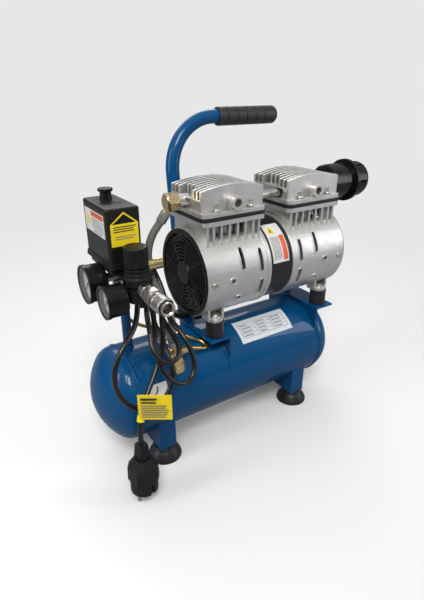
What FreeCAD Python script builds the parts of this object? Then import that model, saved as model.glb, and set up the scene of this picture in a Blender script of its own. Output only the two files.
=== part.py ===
import FreeCAD, Part
import math
import os

# Twin-cylinder oil-free airbrush compressor on a small horizontal tank.
# Millimetres.  X runs along the tank towards the intake filter, Y to the back, Z up.
# The origin is on the floor, at the centre of the four feet.

# ---- driving dimensions -------------------------------------------------------------
TANK_R = 70.0
TANK_Z = 101.5                 # tank axis height
TANK_HALF = 164.0              # half length of the rolled shell
TANK_WALL = 2.5
DISH_DEPTH = 44.0

FOOT_X = 128.0
FOOT_Y = 49.0
FOOT_R = 25.5
FOOT_BORE_R = 3.25
BRACKET_BASE_Z = 20.0
SHEET = 3.0

MOTOR_Z = 265.8                # crankshaft height
MOTOR_MID = 71.3               # X of the motor's middle
CASE_R = 65.5
CASE_WALL = 3.5
CASE_INNER = 20.7              # from the middle to a crankcase's inner end
CASE_OUTER = 129.3             # from the middle to a crankcase's outer end
LEG_OFF = 104.5                # from the middle to the leg centres
LEG_Y = 43.0
PAD_Z = 202.0                  # underside of the cast leg pads
PLATE_TOP = 176.0              # top of the motor brackets

BLOCK_OFF = 73.6               # from the middle to a cylinder's axis
DECK_Z = 342.0                 # underside of the block's top flange
GASKET_Z = 348.6
HEAD_Z = 354.0
FLANGE_X = 53.0                # half sizes of the head flange
FLANGE_Y = 48.0
FLANGE_T = 6.0
FIN_BASE_Z = 376.5
FIN_EDGE_Z = 387.5
FIN_CROWN_Z = 394.0
BORE_R = 26.0
THROW = 6.5                    # crank eccentricity

SWITCH_X = -160.0
RISER_X = -153.0
RISER_R = 6.5
MANIFOLD_Z = 284.0
SWITCH_BASE_Z = 300.0
COVER_Z = 311.0
COVER_TOP = 382.0
REG_X = -158.0
REG_Y = -64.0
KNOB_Z = 318.0
KNOB_TOP = 342.0
COUPLER_Z = 292.0
COUPLER_MOUTH_Y = -143.0
COUPLER_BORE_R = 5.5
COUPLER_BORE_L = 20.0

HANDLE_R = 10.5
HANDLE_X = -20.0
HANDLE_BEND = 78.0
HANDLE_TOP = 468.0
HANDLE_LEAN = math.radians(6.6)
HANDLE_FOOT_Z = 128.0
HANDLE_FOOT_Y = 65.5
GRIP_R = 14.2
GRIP_START = 66.0
GRIP_END = 183.0

CORD_D = 7.0
CABLE_D = 7.0
HOSE_D = 11.0
UNLOADER_D = 5.0

PLUG_X = -189.0                # the plug hangs from the cord's free end
PLUG_Y = -109.0
PLUG_TOP = 95.0                # top of its strain relief

V = FreeCAD.Vector
XP = V(1, 0, 0)
XN = V(-1, 0, 0)
YP = V(0, 1, 0)
YN = V(0, -1, 0)
ZP = V(0, 0, 1)
ZN = V(0, 0, -1)

os.makedirs("parts", exist_ok=True)


# ---- small tools --------------------------------------------------------------------
def save(name, *solids):
    """Write one node's STEP file and say how many solids it holds."""
    shape = solids[0] if len(solids) == 1 else Part.makeCompound(list(solids))
    if not shape.isValid():
        print("INVALID", name)
    shape.exportStep("parts/" + name + ".step")
    print(f"{name:24s} {len(shape.Solids):3d} solids  {shape.Volume / 1000:9.2f} cm3")
    return shape


def rod(start, direction, radius, length):
    return Part.makeCylinder(radius, length, start, direction)


def ring(start, direction, outer, inner, length):
    return rod(start, direction, outer, length).cut(rod(start, direction, inner, length))


def taper(start, direction, first, last, length):
    return Part.makeCone(first, last, length, start, direction)


def block(x0, x1, y0, y1, z0, z1):
    return Part.makeBox(x1 - x0, y1 - y0, z1 - z0, V(x0, y0, z0))


def join(*shapes):
    return shapes[0].multiFuse(list(shapes[1:])).removeSplitter()


def carve(shape, *tools):
    return shape.cut(list(tools))


def hexagon(start, direction, across_flats, length):
    """A hexagonal prism, one flat's normal as near to +Z (or +X) as its axis allows."""
    side = ZP if abs(direction.z) < 0.9 else XP
    u = (side - direction * side.dot(direction)).normalize()
    w = direction.cross(u)
    corner = across_flats / math.sqrt(3)
    points = []
    for k in range(7):
        a = math.radians(30 + 60 * k)
        points.append(start + u * (corner * math.cos(a)) + w * (corner * math.sin(a)))
    return Part.Face(Part.makePolygon(points)).extrude(direction * length)


def turned(profile, origin, direction):
    """Turn a closed outline of (distance along, radius) points about an axis."""
    points = [V(r, 0, t) for t, r in profile]
    face = Part.Face(Part.makePolygon(points + points[:1]))
    solid = face.revolve(V(0, 0, 0), ZP, 360)
    placed = FreeCAD.Placement(origin, FreeCAD.Rotation(ZP, direction))
    solid.Placement = placed
    return solid


def soften(shape, radius, wanted):
    """Round the edges whose middle point passes the test."""
    edges = [e for e in shape.Edges if wanted(e.CenterOfMass, e)]
    return shape.makeFillet(radius, edges)


def upright(centre, edge):
    ends = [v.Point for v in edge.Vertexes]
    return len(ends) == 2 and abs(ends[0].x - ends[1].x) + abs(ends[0].y - ends[1].y) < 1e-6


def mirrored(shape):
    """The same piece on the other cylinder's side of the motor."""
    return shape.mirror(V(MOTOR_MID, 0, 0), XP)


def routed(points, radius, label):
    """A round tube of straight runs joined by tangent arcs; prints its bends."""
    runs = [points[k + 1] - points[k] for k in range(len(points) - 1)]
    edges = []
    here = points[0]
    radii = []
    for k in range(1, len(points) - 1):
        a = runs[k - 1]
        b = runs[k]
        turn = a.getAngle(b)
        bend = 0.45 * min(a.Length, b.Length) / math.tan(turn / 2)
        cut_back = bend * math.tan(turn / 2)
        ua = V(a).normalize()
        ub = V(b).normalize()
        first = points[k] - ua * cut_back
        last = points[k] + ub * cut_back
        inward = (ub - ua).normalize()
        centre = points[k] + inward * (bend / math.cos(turn / 2))
        middle = centre - inward * bend
        edges.append(Part.LineSegment(here, first).toShape())
        edges.append(Part.Arc(first, middle, last).toShape())
        here = last
        radii.append(bend)
    edges.append(Part.LineSegment(here, points[-1]).toShape())
    path = Part.Wire(edges)
    start = V(runs[0]).normalize()
    section = Part.Wire([Part.makeCircle(radius, points[0], start)])
    tube = path.makePipeShell([section], True, False)
    wanted = math.pi * radius * radius * path.Length
    print(f"{label}: length {path.Length:.0f}, least radius {min(radii):.1f}, "
          f"radii {[round(r) for r in radii]}, volume ratio {tube.Volume / wanted:.4f}")
    return tube


# ---- tank, feet and brackets ----------------------------------------------------------
TANK_SOLID = rod(V(-TANK_HALF, 0, TANK_Z), XP, TANK_R + 0.05, 2 * TANK_HALF)


def tank_dish():
    """One dished end at the right: it butts on the shell, with a backing ring inside."""
    skirt_r = TANK_R
    root = TANK_HALF + 4.0
    knuckle = 27.0
    crown = (DISH_DEPTH ** 2 - knuckle ** 2 + (skirt_r - knuckle) ** 2) / (
        2 * (DISH_DEPTH - knuckle))
    hub = root + DISH_DEPTH - crown
    lean = math.atan2(skirt_r - knuckle, root - hub)

    def profile(offset):
        """Skirt corner, knuckle middle, joint and tip, moved inward by the offset."""
        turn = (math.pi / 2 + lean) / 2
        k = knuckle - offset
        c = crown - offset
        corner = V(root, 0, skirt_r - offset)
        middle = V(root + k * math.cos(turn), 0, skirt_r - knuckle + k * math.sin(turn))
        joint = V(hub + c * math.cos(lean), 0, c * math.sin(lean))
        half = V(hub + c * math.cos(lean / 2), 0, c * math.sin(lean / 2))
        return corner, middle, joint, half, V(hub + c, 0, 0)

    edges = []
    for corner, middle, joint, half, tip in (profile(0), profile(TANK_WALL)):
        edges.append(Part.Arc(corner, middle, joint).toShape())
        edges.append(Part.Arc(joint, half, tip).toShape())
    outer = profile(0)
    inner = profile(TANK_WALL)
    edges.append(Part.makeLine(outer[4], inner[4]))
    ring_outer = skirt_r - TANK_WALL - 0.1
    step = [inner[0], V(root, 0, skirt_r - 2 * TANK_WALL), V(root - 16, 0, skirt_r - 2 * TANK_WALL),
            V(root - 16, 0, ring_outer), V(TANK_HALF + 0.02, 0, ring_outer),
            V(TANK_HALF + 0.02, 0, skirt_r), outer[0]]
    for start, end in zip(step, step[1:]):
        edges.append(Part.makeLine(start, end))
    outline = Part.Wire(Part.__sortEdges__(edges))
    dish = Part.Face(outline).revolve(V(0, 0, 0), XP, 360)
    dish.translate(V(0, 0, TANK_Z))
    return dish


def tank():
    shell = ring(V(-TANK_HALF, 0, TANK_Z), XP, TANK_R, TANK_R - TANK_WALL, 2 * TANK_HALF)
    drain_hole = rod(V(0, 0, TANK_Z - TANK_R - 2), ZP, 5.0, 8)
    save("tank_shell", carve(shell, drain_hole))
    dish = tank_dish()
    save("tank_ends", dish, dish.mirror(V(0, 0, 0), XP))


def foot_bracket(x):
    """A channel under the tank: base, two upright cheeks and a web on the left side."""
    half_x = 13.5
    half_y = 62.0
    low = BRACKET_BASE_Z
    top = 75.0
    left = x - half_x
    right = x + half_x
    base = block(left, right, -half_y, half_y, low, low + SHEET)
    front = block(left, right, -half_y, -half_y + SHEET, low, top)
    back = block(left, right, half_y - SHEET, half_y, low, top)
    web = block(left, left + SHEET, -half_y, half_y, low, top)
    bracket = join(base, front, back, web)
    arch = rod(V(left - 1, 0, TANK_Z), XP, TANK_R + 0.05, 2 * half_x + 2)
    holes = [rod(V(x, y, low - 1), ZP, 8.0, SHEET + 2) for y in (-FOOT_Y, FOOT_Y)]
    return carve(bracket, arch, *holes)


def suction_foot(x, y):
    """A hollow rubber cup with a neck that snaps into the bracket, bored for a screw."""
    z = BRACKET_BASE_Z
    profile = [(0, FOOT_R), (0, FOOT_R - 3.5), (5, 15), (6, FOOT_BORE_R + 4),
               (0, FOOT_BORE_R + 4), (0, FOOT_BORE_R), (z + 6, FOOT_BORE_R), (z + 6, 8.5), (z + SHEET + 0.2, 9.8),
               (z + SHEET + 0.2, 7.9), (z - 0.2, 7.9), (z - 0.2, 15.5), (z - 4, 17.5),
               (12, 20.5), (7, 23.4), (2.5, FOOT_R)]
    return turned(profile, V(x, y, 0), ZP)


def stand():
    save("foot_brackets", foot_bracket(-FOOT_X), foot_bracket(FOOT_X))
    spots = [(sx * FOOT_X, sy * FOOT_Y) for sx in (-1, 1) for sy in (-1, 1)]
    save("suction_feet", *[suction_foot(x, y) for x, y in spots])


def motor_bracket():
    """The left plate: a flat top with one flange scribed to the tank."""
    mid = MOTOR_MID - LEG_OFF
    left = mid - 18.0
    right = mid + 18.0
    half_y = 61.0
    plate = block(left, right, -half_y, half_y, PLATE_TOP - SHEET, PLATE_TOP)
    flange = block(right - SHEET, right, -half_y, half_y, TANK_Z + 20, PLATE_TOP)
    around = rod(V(left - 1, 0, TANK_Z), XP, TANK_R + 0.05, 40)
    holes = [rod(V(mid, y, PLATE_TOP - 10), ZP, 4.2, 20) for y in (-LEG_Y, LEG_Y)]
    return carve(join(plate, flange), around, *holes)


def rubber_mount(x, y):
    """A round rubber buffer between the bracket and a cast leg."""
    h = PAD_Z - PLATE_TOP
    profile = [(0, 4.1), (0, 13.0), (1, 13.6), (5, 13.2), (h - 5, 13.2), (h - 1, 13.4),
               (h, 12.6), (h, 4.1)]
    return turned(profile, V(x, y, PLATE_TOP), ZP)


def mount_bolt(x, y):
    """Bolt, washer and locknut that hold one leg down."""
    pad_top = PAD_Z + 4.5
    head = hexagon(V(x, y, pad_top + 2.2), ZP, 10.0, 2.8)
    washer = taper(V(x, y, pad_top), ZP, 9.0, 8.0, 2.2)
    shank = rod(V(x, y, 163.5), ZP, 3.9, pad_top - 163.0)
    nut = hexagon(V(x, y, PLATE_TOP - SHEET - 6.5), ZP, 12.8, 6.5)
    return join(head, washer, shank, nut)


def motor_mounts():
    bracket = motor_bracket()
    foot = leaned(HANDLE_X, 0)
    handle_notch = rod(foot, leaned(HANDLE_X, 1) - foot, HANDLE_R + 0.3, 80)
    save("motor_brackets", bracket.cut(handle_notch), mirrored(bracket))
    spots = [(MOTOR_MID + sx * LEG_OFF, sy * LEG_Y) for sx in (-1, 1) for sy in (-1, 1)]
    save("rubber_mounts", *[rubber_mount(x, y) for x, y in spots])
    save("mount_bolts", *[mount_bolt(x, y) for x, y in spots])


# ---- motor ----------------------------------------------------------------------------
def around_case(degrees, radius):
    """A point of the crankcase's section; 0 faces the front and 90 faces up."""
    a = math.radians(degrees)
    return V(0, -radius * math.cos(a), MOTOR_Z + radius * math.sin(a))


def radial(degrees):
    a = math.radians(degrees)
    return V(0, -math.cos(a), math.sin(a))


def arc_slot(x, low, high, width=5.8, inner=CASE_R - 8, outer=CASE_R + 6):
    """A round-ended band round the crankcase between two angles."""
    band = ring(V(x - width / 2, 0, MOTOR_Z), XP, outer, inner, width)
    reach = CASE_R + 6
    wedge = [V(x - width, 0, MOTOR_Z)]
    for k in range(5):
        wedge.append(around_case(low + (high - low) * k / 4, 1.3 * reach) + V(x - width, 0, 0))
    sector = Part.Face(Part.makePolygon(wedge + wedge[:1])).extrude(XP * (2 * width))
    ends = []
    for angle in (low, high):
        start = around_case(angle, inner) + V(x, 0, 0)
        ends.append(rod(start, radial(angle), width / 2, outer - inner))
    return [band.common(sector)] + ends


def crankcase():
    """The left cast crankcase with its bearing wall, legs, ports and cooling slots."""
    outer_end = MOTOR_MID - CASE_OUTER
    inner_end = MOTOR_MID - CASE_INNER
    length = inner_end - outer_end
    leg_x = MOTOR_MID - LEG_OFF
    shell = rod(V(outer_end, 0, MOTOR_Z), XP, CASE_R, length)
    pieces = [shell]
    for side in (-1, 1):
        y0 = min(side * 29, side * 47)
        pad = join(block(leg_x - 13.5, leg_x + 13.5, y0, y0 + 18, PAD_Z, PAD_Z + 4.5),
                   rod(V(leg_x, side * LEG_Y, PAD_Z), ZP, 12.2, 4.5))
        ribs = [block(leg_x + dx, leg_x + dx + 3.4, y0, y0 + 18, PAD_Z, PAD_Z + 36)
                for dx in (-13.5, 10.1)]
        wall_y = -33 if side < 0 else 29
        wall = block(leg_x - 13.5, leg_x + 13.5, wall_y, wall_y + 4, PAD_Z, PAD_Z + 24)
        pieces += [pad, wall] + ribs
    for x, angle in ((-17.0, 0), (-3.5, -27)):
        start = around_case(angle, CASE_R - 3) + V(x, 0, 0)
        pieces.append(rod(start, radial(angle), 5.6, 4.2))
        start = around_case(180 - angle, CASE_R - 3) + V(x, 0, 0)
        pieces.append(rod(start, radial(180 - angle), 5.6, 4.2))
    rim = ring(V(inner_end - 6, 0, MOTOR_Z), XP, CASE_R + 0.8, CASE_R - 2, 6)
    pieces.append(rim)
    slots = ((1.7, 14, 37), (33.5, 7, 31), (34.0, -28, -9))
    for x, low, high in slots:
        for a, b in ((low, high), (180 - high, 180 - low)):
            pieces += arc_slot(x, a, b, 9.0, CASE_R - 2, CASE_R + 0.7)
    body = join(*pieces)
    cavity = rod(V(outer_end - 1, 0, MOTOR_Z), XP, CASE_R - CASE_WALL, 100)
    behind = rod(V(outer_end + 105, 0, MOTOR_Z), XP, CASE_R - CASE_WALL, 40)
    bearing = rod(V(outer_end + 90, 0, MOTOR_Z), XP, 14.02, 30)
    window = block(cylinder_x() - 33, cylinder_x() + 33, -33, 33, MOTOR_Z, MOTOR_Z + 80)
    tools = [cavity, behind, bearing, window]
    for x, low, high in slots:
        tools += arc_slot(x, low, high)
        tools += arc_slot(x, 180 - high, 180 - low)
    for x, angle in ((-17.0, 0), (-3.5, -27)):
        for a in (angle, 180 - angle):
            tools.append(rod(around_case(a, CASE_R - 8) + V(x, 0, 0), radial(a), 3.3, 14))
    for side in (-1, 1):
        tools.append(rod(V(leg_x, side * LEG_Y, PAD_Z - 1), ZP, 4.3, 8))
    for a in (0, 180):
        tools.append(rod(around_case(a, CASE_R - 8) + V(-47.0, 0, 0), radial(a), 2.05, 12))
    return carve(body, *tools)


def cylinder_x():
    return MOTOR_MID - BLOCK_OFF


def crankcases():
    case = crankcase()
    save("crankcase_left", case)
    save("crankcase_right", mirrored(case))


def rotor_parts():
    """Shaft with its two eccentrics, rotor stack, and the fans at both ends."""
    x0 = MOTOR_MID - 121.0
    length = 242.0
    shaft = rod(V(x0, 0, MOTOR_Z), XP, 6.0, length)
    eccentrics = []
    for side in (-1, 1):
        x = MOTOR_MID + side * BLOCK_OFF
        eccentrics.append(rod(V(x - 6, 0, MOTOR_Z + THROW), XP, 13.0, 12))
    save("motor_shaft", join(shaft, *eccentrics))
    save("rotor_core", ring(V(MOTOR_MID - 17, 0, MOTOR_Z), XP, 32.0, 6.02, 34))
    fans = [fan(MOTOR_MID - 118.5), fan(MOTOR_MID + 104.5)]
    save("cooling_fans", *fans)
    bearings = []
    for side in (-1, 1):
        x = MOTOR_MID + side * 25.8
        bearings.append(ring(V(x - 4, 0, MOTOR_Z), XP, 14.0, 6.03, 8))
    save("shaft_bearings", *bearings)


def fan(x):
    """A hub and seven pitched blades, 14 mm deep."""
    depth = 14.0
    hub = rod(V(x, 0, MOTOR_Z), XP, 17, depth)
    blades = []
    for k in range(7):
        blade = Part.makeBox(2.2, 16, 40, V(-1.1, -8, 14))
        blade.rotate(V(0, 0, 0), ZP, 52)
        blade.translate(V(x + depth / 2, 0, MOTOR_Z))
        blade.rotate(V(x, 0, MOTOR_Z), XP, 360 / 7 * k)
        blades.append(blade)
    limit = ring(V(x, 0, MOTOR_Z), XP, 53.0, 12, depth)
    blades = [b.common(limit) for b in blades]
    return carve(join(hub, *blades), rod(V(x - 1, 0, MOTOR_Z), XP, 6.02, depth + 2))


def stator():
    """Laminated stack with a finished outer band, and its end windings."""
    core = ring(V(MOTOR_MID - CASE_INNER + 0.1, 0, MOTOR_Z), XP, CASE_R - 1.8, 32.6,
                2 * CASE_INNER - 0.2)
    save("stator_core", core)
    coils = []
    for x in (MOTOR_MID - CASE_INNER - 3.4, MOTOR_MID + CASE_INNER - 0.1):
        coils.append(ring(V(x, 0, MOTOR_Z), XP, 52, 35, 3.5))
    save("stator_windings", *coils)


def fan_grille():
    """Round guard at the left end: rim, rings, spokes and a hub plate."""
    face = MOTOR_MID - CASE_OUTER - 2.0
    rim = ring(V(face, 0, MOTOR_Z), XP, 61.9, 58.0, 8.0)
    lip = ring(V(face, 0, MOTOR_Z), XP, 64.3, 60.0, 2.0)
    hub = taper(V(face - 1.0, 0, MOTOR_Z), XP, 16.5, 18.5, 3.5)
    rings = []
    for k in range(7):
        r = 22.5 + 5.1 * k
        rings.append(ring(V(face + 0.4, 0, MOTOR_Z), XP, r + 0.9, r - 0.9, 2.2))
    spokes = []
    for k in range(8):
        spoke = block(face + 0.8, face + 2.8, -1.1, 1.1, MOTOR_Z + 16, MOTOR_Z + 59.5)
        spoke.rotate(V(0, 0, MOTOR_Z), XP, 45 * k + 12)
        spokes.append(spoke)
    return join(rim, lip, hub, *(rings + spokes))


def pan_screw(start, direction, head_r, head_h, shank_r, shank_l):
    """A cross-recess pan-head screw; start is the seat and direction points outward."""
    head = rod(start, direction, head_r, head_h)
    head = soften(head, head_h * 0.55,
                  lambda c, e: (c - start).dot(direction) > head_h - 0.1)
    shank = rod(start - direction * shank_l, direction, shank_r, shank_l + 0.2)
    side = XP if abs(direction.x) < 0.9 else YP
    across = direction.cross(side)
    top = start + direction * (head_h - 1.0)
    cuts = []
    for u, w in ((side, across), (across, side)):
        points = [top + u * (sa * head_r * 0.62) + w * (sb * 0.55)
                  for sa, sb in ((-1, -1), (1, -1), (1, 1), (-1, 1))]
        cuts.append(Part.Face(Part.makePolygon(points + points[:1])).extrude(direction * 3))
    return carve(join(head, shank), *cuts)


def screws():
    """Grille screws round both crankcases, and four head screws on each cylinder."""
    made = []
    for a in (0, 180):
        at = around_case(a, CASE_R) + V(-47.0, 0, 0)
        made.append(pan_screw(at, radial(a), 4.4, 2.4, 2.0, 4.5))
    for sx in (-1, 1):
        for sy in (-1, 1):
            at = V(cylinder_x() + sx * 28, sy * 43.6, HEAD_Z + FLANGE_T)
            made.append(pan_screw(at, ZP, 4.5, 4.6, 2.4, FLANGE_T + 9))
    save("machine_screws", *(made + [mirrored(s) for s in made]))


# ---- cylinders and heads --------------------------------------------------------------
def cylinder_block():
    """Square cast block with a ribbed window front and back, and a top flange."""
    cx = cylinder_x()
    case = rod(V(cx - 60, 0, MOTOR_Z), XP, CASE_R + 0.05, 120)
    body = block(cx - 45, cx + 45, -38.5, 38.5, MOTOR_Z + 30, DECK_Z)
    posts = []
    for dx in (-43.2, -33.5, -20.5, -7.0, 6.5, 20.0, 33.0, 43.2):
        for side in (-1, 1):
            y0 = -44.0 if side < 0 else 38.0
            posts.append(block(cx + dx - 1.8, cx + dx + 1.8, y0, y0 + 6, MOTOR_Z + 36, DECK_Z))
    flange = block(cx - FLANGE_X, cx + FLANGE_X, -FLANGE_Y, FLANGE_Y, DECK_Z, GASKET_Z)
    flange = soften(flange, 8.0, upright)
    whole = join(body, flange, *posts)
    cavity = block(cx - 36, cx + 36, -32, 32, MOTOR_Z, DECK_Z - 2)
    bore = rod(V(cx, 0, DECK_Z - 5), ZP, 28.6, 20)
    windows = []
    for y0 in (-38.6, 30.0):
        opening = block(cx - 27, cx + 27, y0, y0 + 8.6, 316, 339)
        windows.append(soften(opening, 6.0, lambda c, e: abs(e.tangentAt(0).y) > 0.99))
    screw_holes = [rod(V(cx + sx * 28, sy * 43.6, DECK_Z - 1), ZP, 2.5, 12)
                   for sx in (-1, 1) for sy in (-1, 1)]
    return carve(whole, case, cavity, bore, *(windows + screw_holes))


def cylinder_sleeve():
    """Thin finned liner that the piston runs in."""
    cx = cylinder_x()
    low = MOTOR_Z + 38.0
    tube = rod(V(cx, 0, low), ZP, 28.5, GASKET_Z - low)
    fins = [rod(V(cx, 0, low + 4 + 6 * k), ZP, 30.0, 1.6) for k in range(5)]
    bore = rod(V(cx, 0, low - 1), ZP, BORE_R, 90)
    return carve(join(tube, *fins), bore)


def piston_and_rod():
    """Piston with a cup seal, and the rod whose big end surrounds the eccentric."""
    cx = cylinder_x()
    crown_z = GASKET_Z - 4.0
    piston = join(rod(V(cx, 0, crown_z - 12), ZP, BORE_R - 0.6, 9),
                  rod(V(cx, 0, crown_z - 3), ZP, BORE_R - 0.05, 1.2),
                  rod(V(cx, 0, crown_z - 1.8), ZP, BORE_R - 2, 1.8))
    big_in = 13.0 + THROW + 0.6
    eye = ring(V(cx - 5, 0, MOTOR_Z), XP, big_in + 4.5, big_in, 10)
    arm = block(cx - 4, cx + 4, -6, 6, MOTOR_Z + big_in + 2, crown_z - 12)
    return piston, join(eye, arm)


def gasket():
    cx = cylinder_x()
    grow = 0.5
    plate = block(cx - FLANGE_X - grow, cx + FLANGE_X + grow, -FLANGE_Y - grow,
                  FLANGE_Y + grow, GASKET_Z, HEAD_Z)
    plate = soften(plate, 8.5, upright)
    hollow = block(cx - 38.1, cx + 38.1, -36.1, 36.1, GASKET_Z - 1, HEAD_Z + 1)
    holes = [rod(V(cx + sx * 28, sy * 43.6, GASKET_Z - 1), ZP, 2.5, 12)
             for sx in (-1, 1) for sy in (-1, 1)]
    return carve(plate, hollow, *holes)


def valve_plate():
    """Plate with an intake and an outlet port, each under a reed."""
    cx = cylinder_x()
    plate = block(cx - 38, cx + 38, -36, 36, GASKET_Z, GASKET_Z + 4)
    ports = [rod(V(cx + dx, 0, GASKET_Z - 1), ZP, 3.0, 8) for dx in (-13, 13)]
    reed = block(cx + 6, cx + 20, -4, 22, GASKET_Z + 4, GASKET_Z + 4.5)
    return join(carve(plate, *ports), reed)


def arched(x0, x1, y0, y1, low):
    """A slab whose top is an arc across X, the crown over the cylinder's axis."""
    cx = cylinder_x()
    half = 50.0
    rise = FIN_CROWN_Z - FIN_EDGE_Z
    radius = (half * half + rise * rise) / (2 * rise)

    def top(x):
        return FIN_CROWN_Z - radius + math.sqrt(radius * radius - (x - cx) ** 2)

    mid = (x0 + x1) / 2
    outline = Part.Wire([
        Part.makeLine(V(x0, y0, low), V(x1, y0, low)),
        Part.makeLine(V(x1, y0, low), V(x1, y0, top(x1))),
        Part.Arc(V(x1, y0, top(x1)), V(mid, y0, top(mid)), V(x0, y0, top(x0))).toShape(),
        Part.makeLine(V(x0, y0, top(x0)), V(x0, y0, low)),
    ])
    return Part.Face(outline).extrude(YP * (y1 - y0))


def cylinder_head():
    """Cast head: flange, inner box, full-height front plate and eight arched fins."""
    cx = cylinder_x()
    low = HEAD_Z
    flange = block(cx - FLANGE_X, cx + FLANGE_X, -FLANGE_Y, FLANGE_Y, low, low + FLANGE_T)
    flange = soften(flange, 8.0, upright)
    box = block(cx - 46, cx + 46, -38, 40, low, FIN_BASE_Z)
    plate = arched(cx - 51, cx + 51, -41, -35.5, low + FLANGE_T - 1)
    plate = soften(plate, 2.0, upright)
    pieces = [flange, box, plate]
    for y in (-30.0, -21.0, 18.5, 28.0, 37.2):
        pieces.append(arched(cx - 51, cx + 51, y - 1.8, y + 1.8, FIN_BASE_Z - 1))
    for y in (-11.5, -1.5, 8.5):
        pieces.append(arched(cx - 42, cx + 42, y - 1.8, y + 1.8, FIN_BASE_Z - 1))
    shelf = block(cx - 51, cx + 51, -36, 39, FIN_BASE_Z - 2, FIN_BASE_Z)
    pieces.append(shelf)
    pieces.append(rod(V(cx, -36, 370), YN, 9.6, 16.5))
    pieces.append(block(cx - 9.6, cx + 9.6, -48, -36, low + 5, 370))
    head = join(*pieces)
    chambers = [block(cx - 36, cx - 2, -30, 30, low - 1, low + 12),
                block(cx + 2, cx + 36, -30, 30, low - 1, low + 12)]
    port = rod(V(cx, -60, 370), YP, 5.6, 22)
    tools = chambers + [port]
    for sx in (-1, 1):
        for sy in (-1, 1):
            x = cx + sx * 28
            tools.append(rod(V(x, sy * 43.6, low - 1), ZP, 2.6, FLANGE_T + 2))
            tools.append(rod(V(x, sy * 43.6, low + FLANGE_T), ZP, 5.3, 9))
    return head, tools


def heads():
    block_left = cylinder_block()
    save("cylinder_blocks", block_left, mirrored(block_left))
    sleeve = cylinder_sleeve()
    save("cylinder_sleeves", sleeve, mirrored(sleeve))
    piston, rod_part = piston_and_rod()
    save("pistons", piston, mirrored(piston))
    save("connecting_rods", rod_part, mirrored(rod_part))
    plate = valve_plate()
    save("valve_plates", plate, mirrored(plate))
    seal = gasket()
    tube_y = -16.0
    tube_z = 367.0
    left_face = cylinder_x() + 46
    right_face = 2 * MOTOR_MID - left_face
    rings = []
    for x, way in ((left_face, XP), (right_face, XN)):
        rings.append(ring(V(x, tube_y, tube_z), way, 7.0, 6.05, 3.2))
    save("head_seals", seal, mirrored(seal), *rings)
    head, tools = cylinder_head()
    tube_left = rod(V(left_face - 8, tube_y, tube_z), XP, 6.1, 20)
    tube_right = rod(V(right_face + 8, tube_y, tube_z), XN, 6.1, 20)
    outlet = rod(V(cylinder_x() - 62, ELBOW_Y, ELBOW_Z), XP, 6.1, 24)
    inlet = rod(V(2 * MOTOR_MID - cylinder_x() + 38, 0, FILTER_Z), XP, 7.0, 30)
    outlet_boss = rod(V(cylinder_x() - 46 - 14.5, ELBOW_Y, ELBOW_Z), XP, 9.2, 16)
    left = carve(join(head, outlet_boss), tube_left, outlet, *tools)
    right = carve(mirrored(head), tube_right, inlet, *[mirrored(t) for t in tools])
    save("cylinder_heads", left, right)
    tube = ring(V(left_face - 8, tube_y, tube_z), XP, 6.0, 4.6, right_face - left_face + 16)
    save("cross_tube", tube)


# ---- intake filter --------------------------------------------------------------------
FILTER_Z = 367.5
FILTER_X = 2 * MOTOR_MID - (MOTOR_MID - BLOCK_OFF) + 46      # outer wall of the right head


def intake_filter():
    """Round two-part housing on the right head with a foam ring inside."""
    x = FILTER_X
    body_profile = [(-6, 5.0), (-6, 6.9), (7.5, 6.9), (8, 10.5), (15, 11.5), (16, 26.5),
                    (18, 28.7), (44, 28.7), (46, 27.4), (60.5, 27.4), (61, 34.3),
                    (64, 34.3), (64, 25.0), (22, 25.0), (22, 5.0)]
    save("filter_body", turned(body_profile, V(x, 0, FILTER_Z), XP))
    cap_profile = [(64.1, 0), (64.1, 34.3), (67, 34.3), (67.6, 29.6), (70, 28.8),
                   (90, 28.8), (94, 27.2), (96.8, 23.6), (98, 19.0), (98, 0)]
    cap = turned(cap_profile, V(x, 0, FILTER_Z), XP)
    hollow = rod(V(x + 63, 0, FILTER_Z), XP, 24.0, 31)
    slots = []
    for k in range(6):
        slot = block(x + 73, x + 87, -1.8, 1.8, FILTER_Z + 20, FILTER_Z + 40)
        slot.rotate(V(x, 0, FILTER_Z), XP, 60 * k + 210)
        slots.append(slot)
    save("filter_cap", carve(cap, hollow, *slots))
    save("filter_element", ring(V(x + 24, 0, FILTER_Z), XP, 23.5, 12.0, 66))


# ---- delivery line --------------------------------------------------------------------
ELBOW_Y = 8.0
ELBOW_Z = 369.0
VALVE_X = -102.0
VALVE_Y = -50.0
VALVE_BASE = V(VALVE_X, VALVE_Y, 149.6)
VALVE_UP = V(-0.17, 0.0, 0.985).normalize()



def check_valve_point(height):
    return VALVE_BASE + VALVE_UP * height


VALVE_TIP = check_valve_point(35)
HOSE_ROUTE = [V(-77.5, 11, 354.5), V(-86, 14, 341), V(-97, 17, 326), V(-103.5, 18, 309),
              V(-106, 18, 291), V(-105.5, 16, 275), V(-103, 11, 260), V(-99, 3, 246),
              V(-95.5, -11, 231), V(-96, -27, 215.5), V(-101.5, -40, 207.5),
              VALVE_TIP + VALVE_UP * 15, VALVE_TIP]


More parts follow.
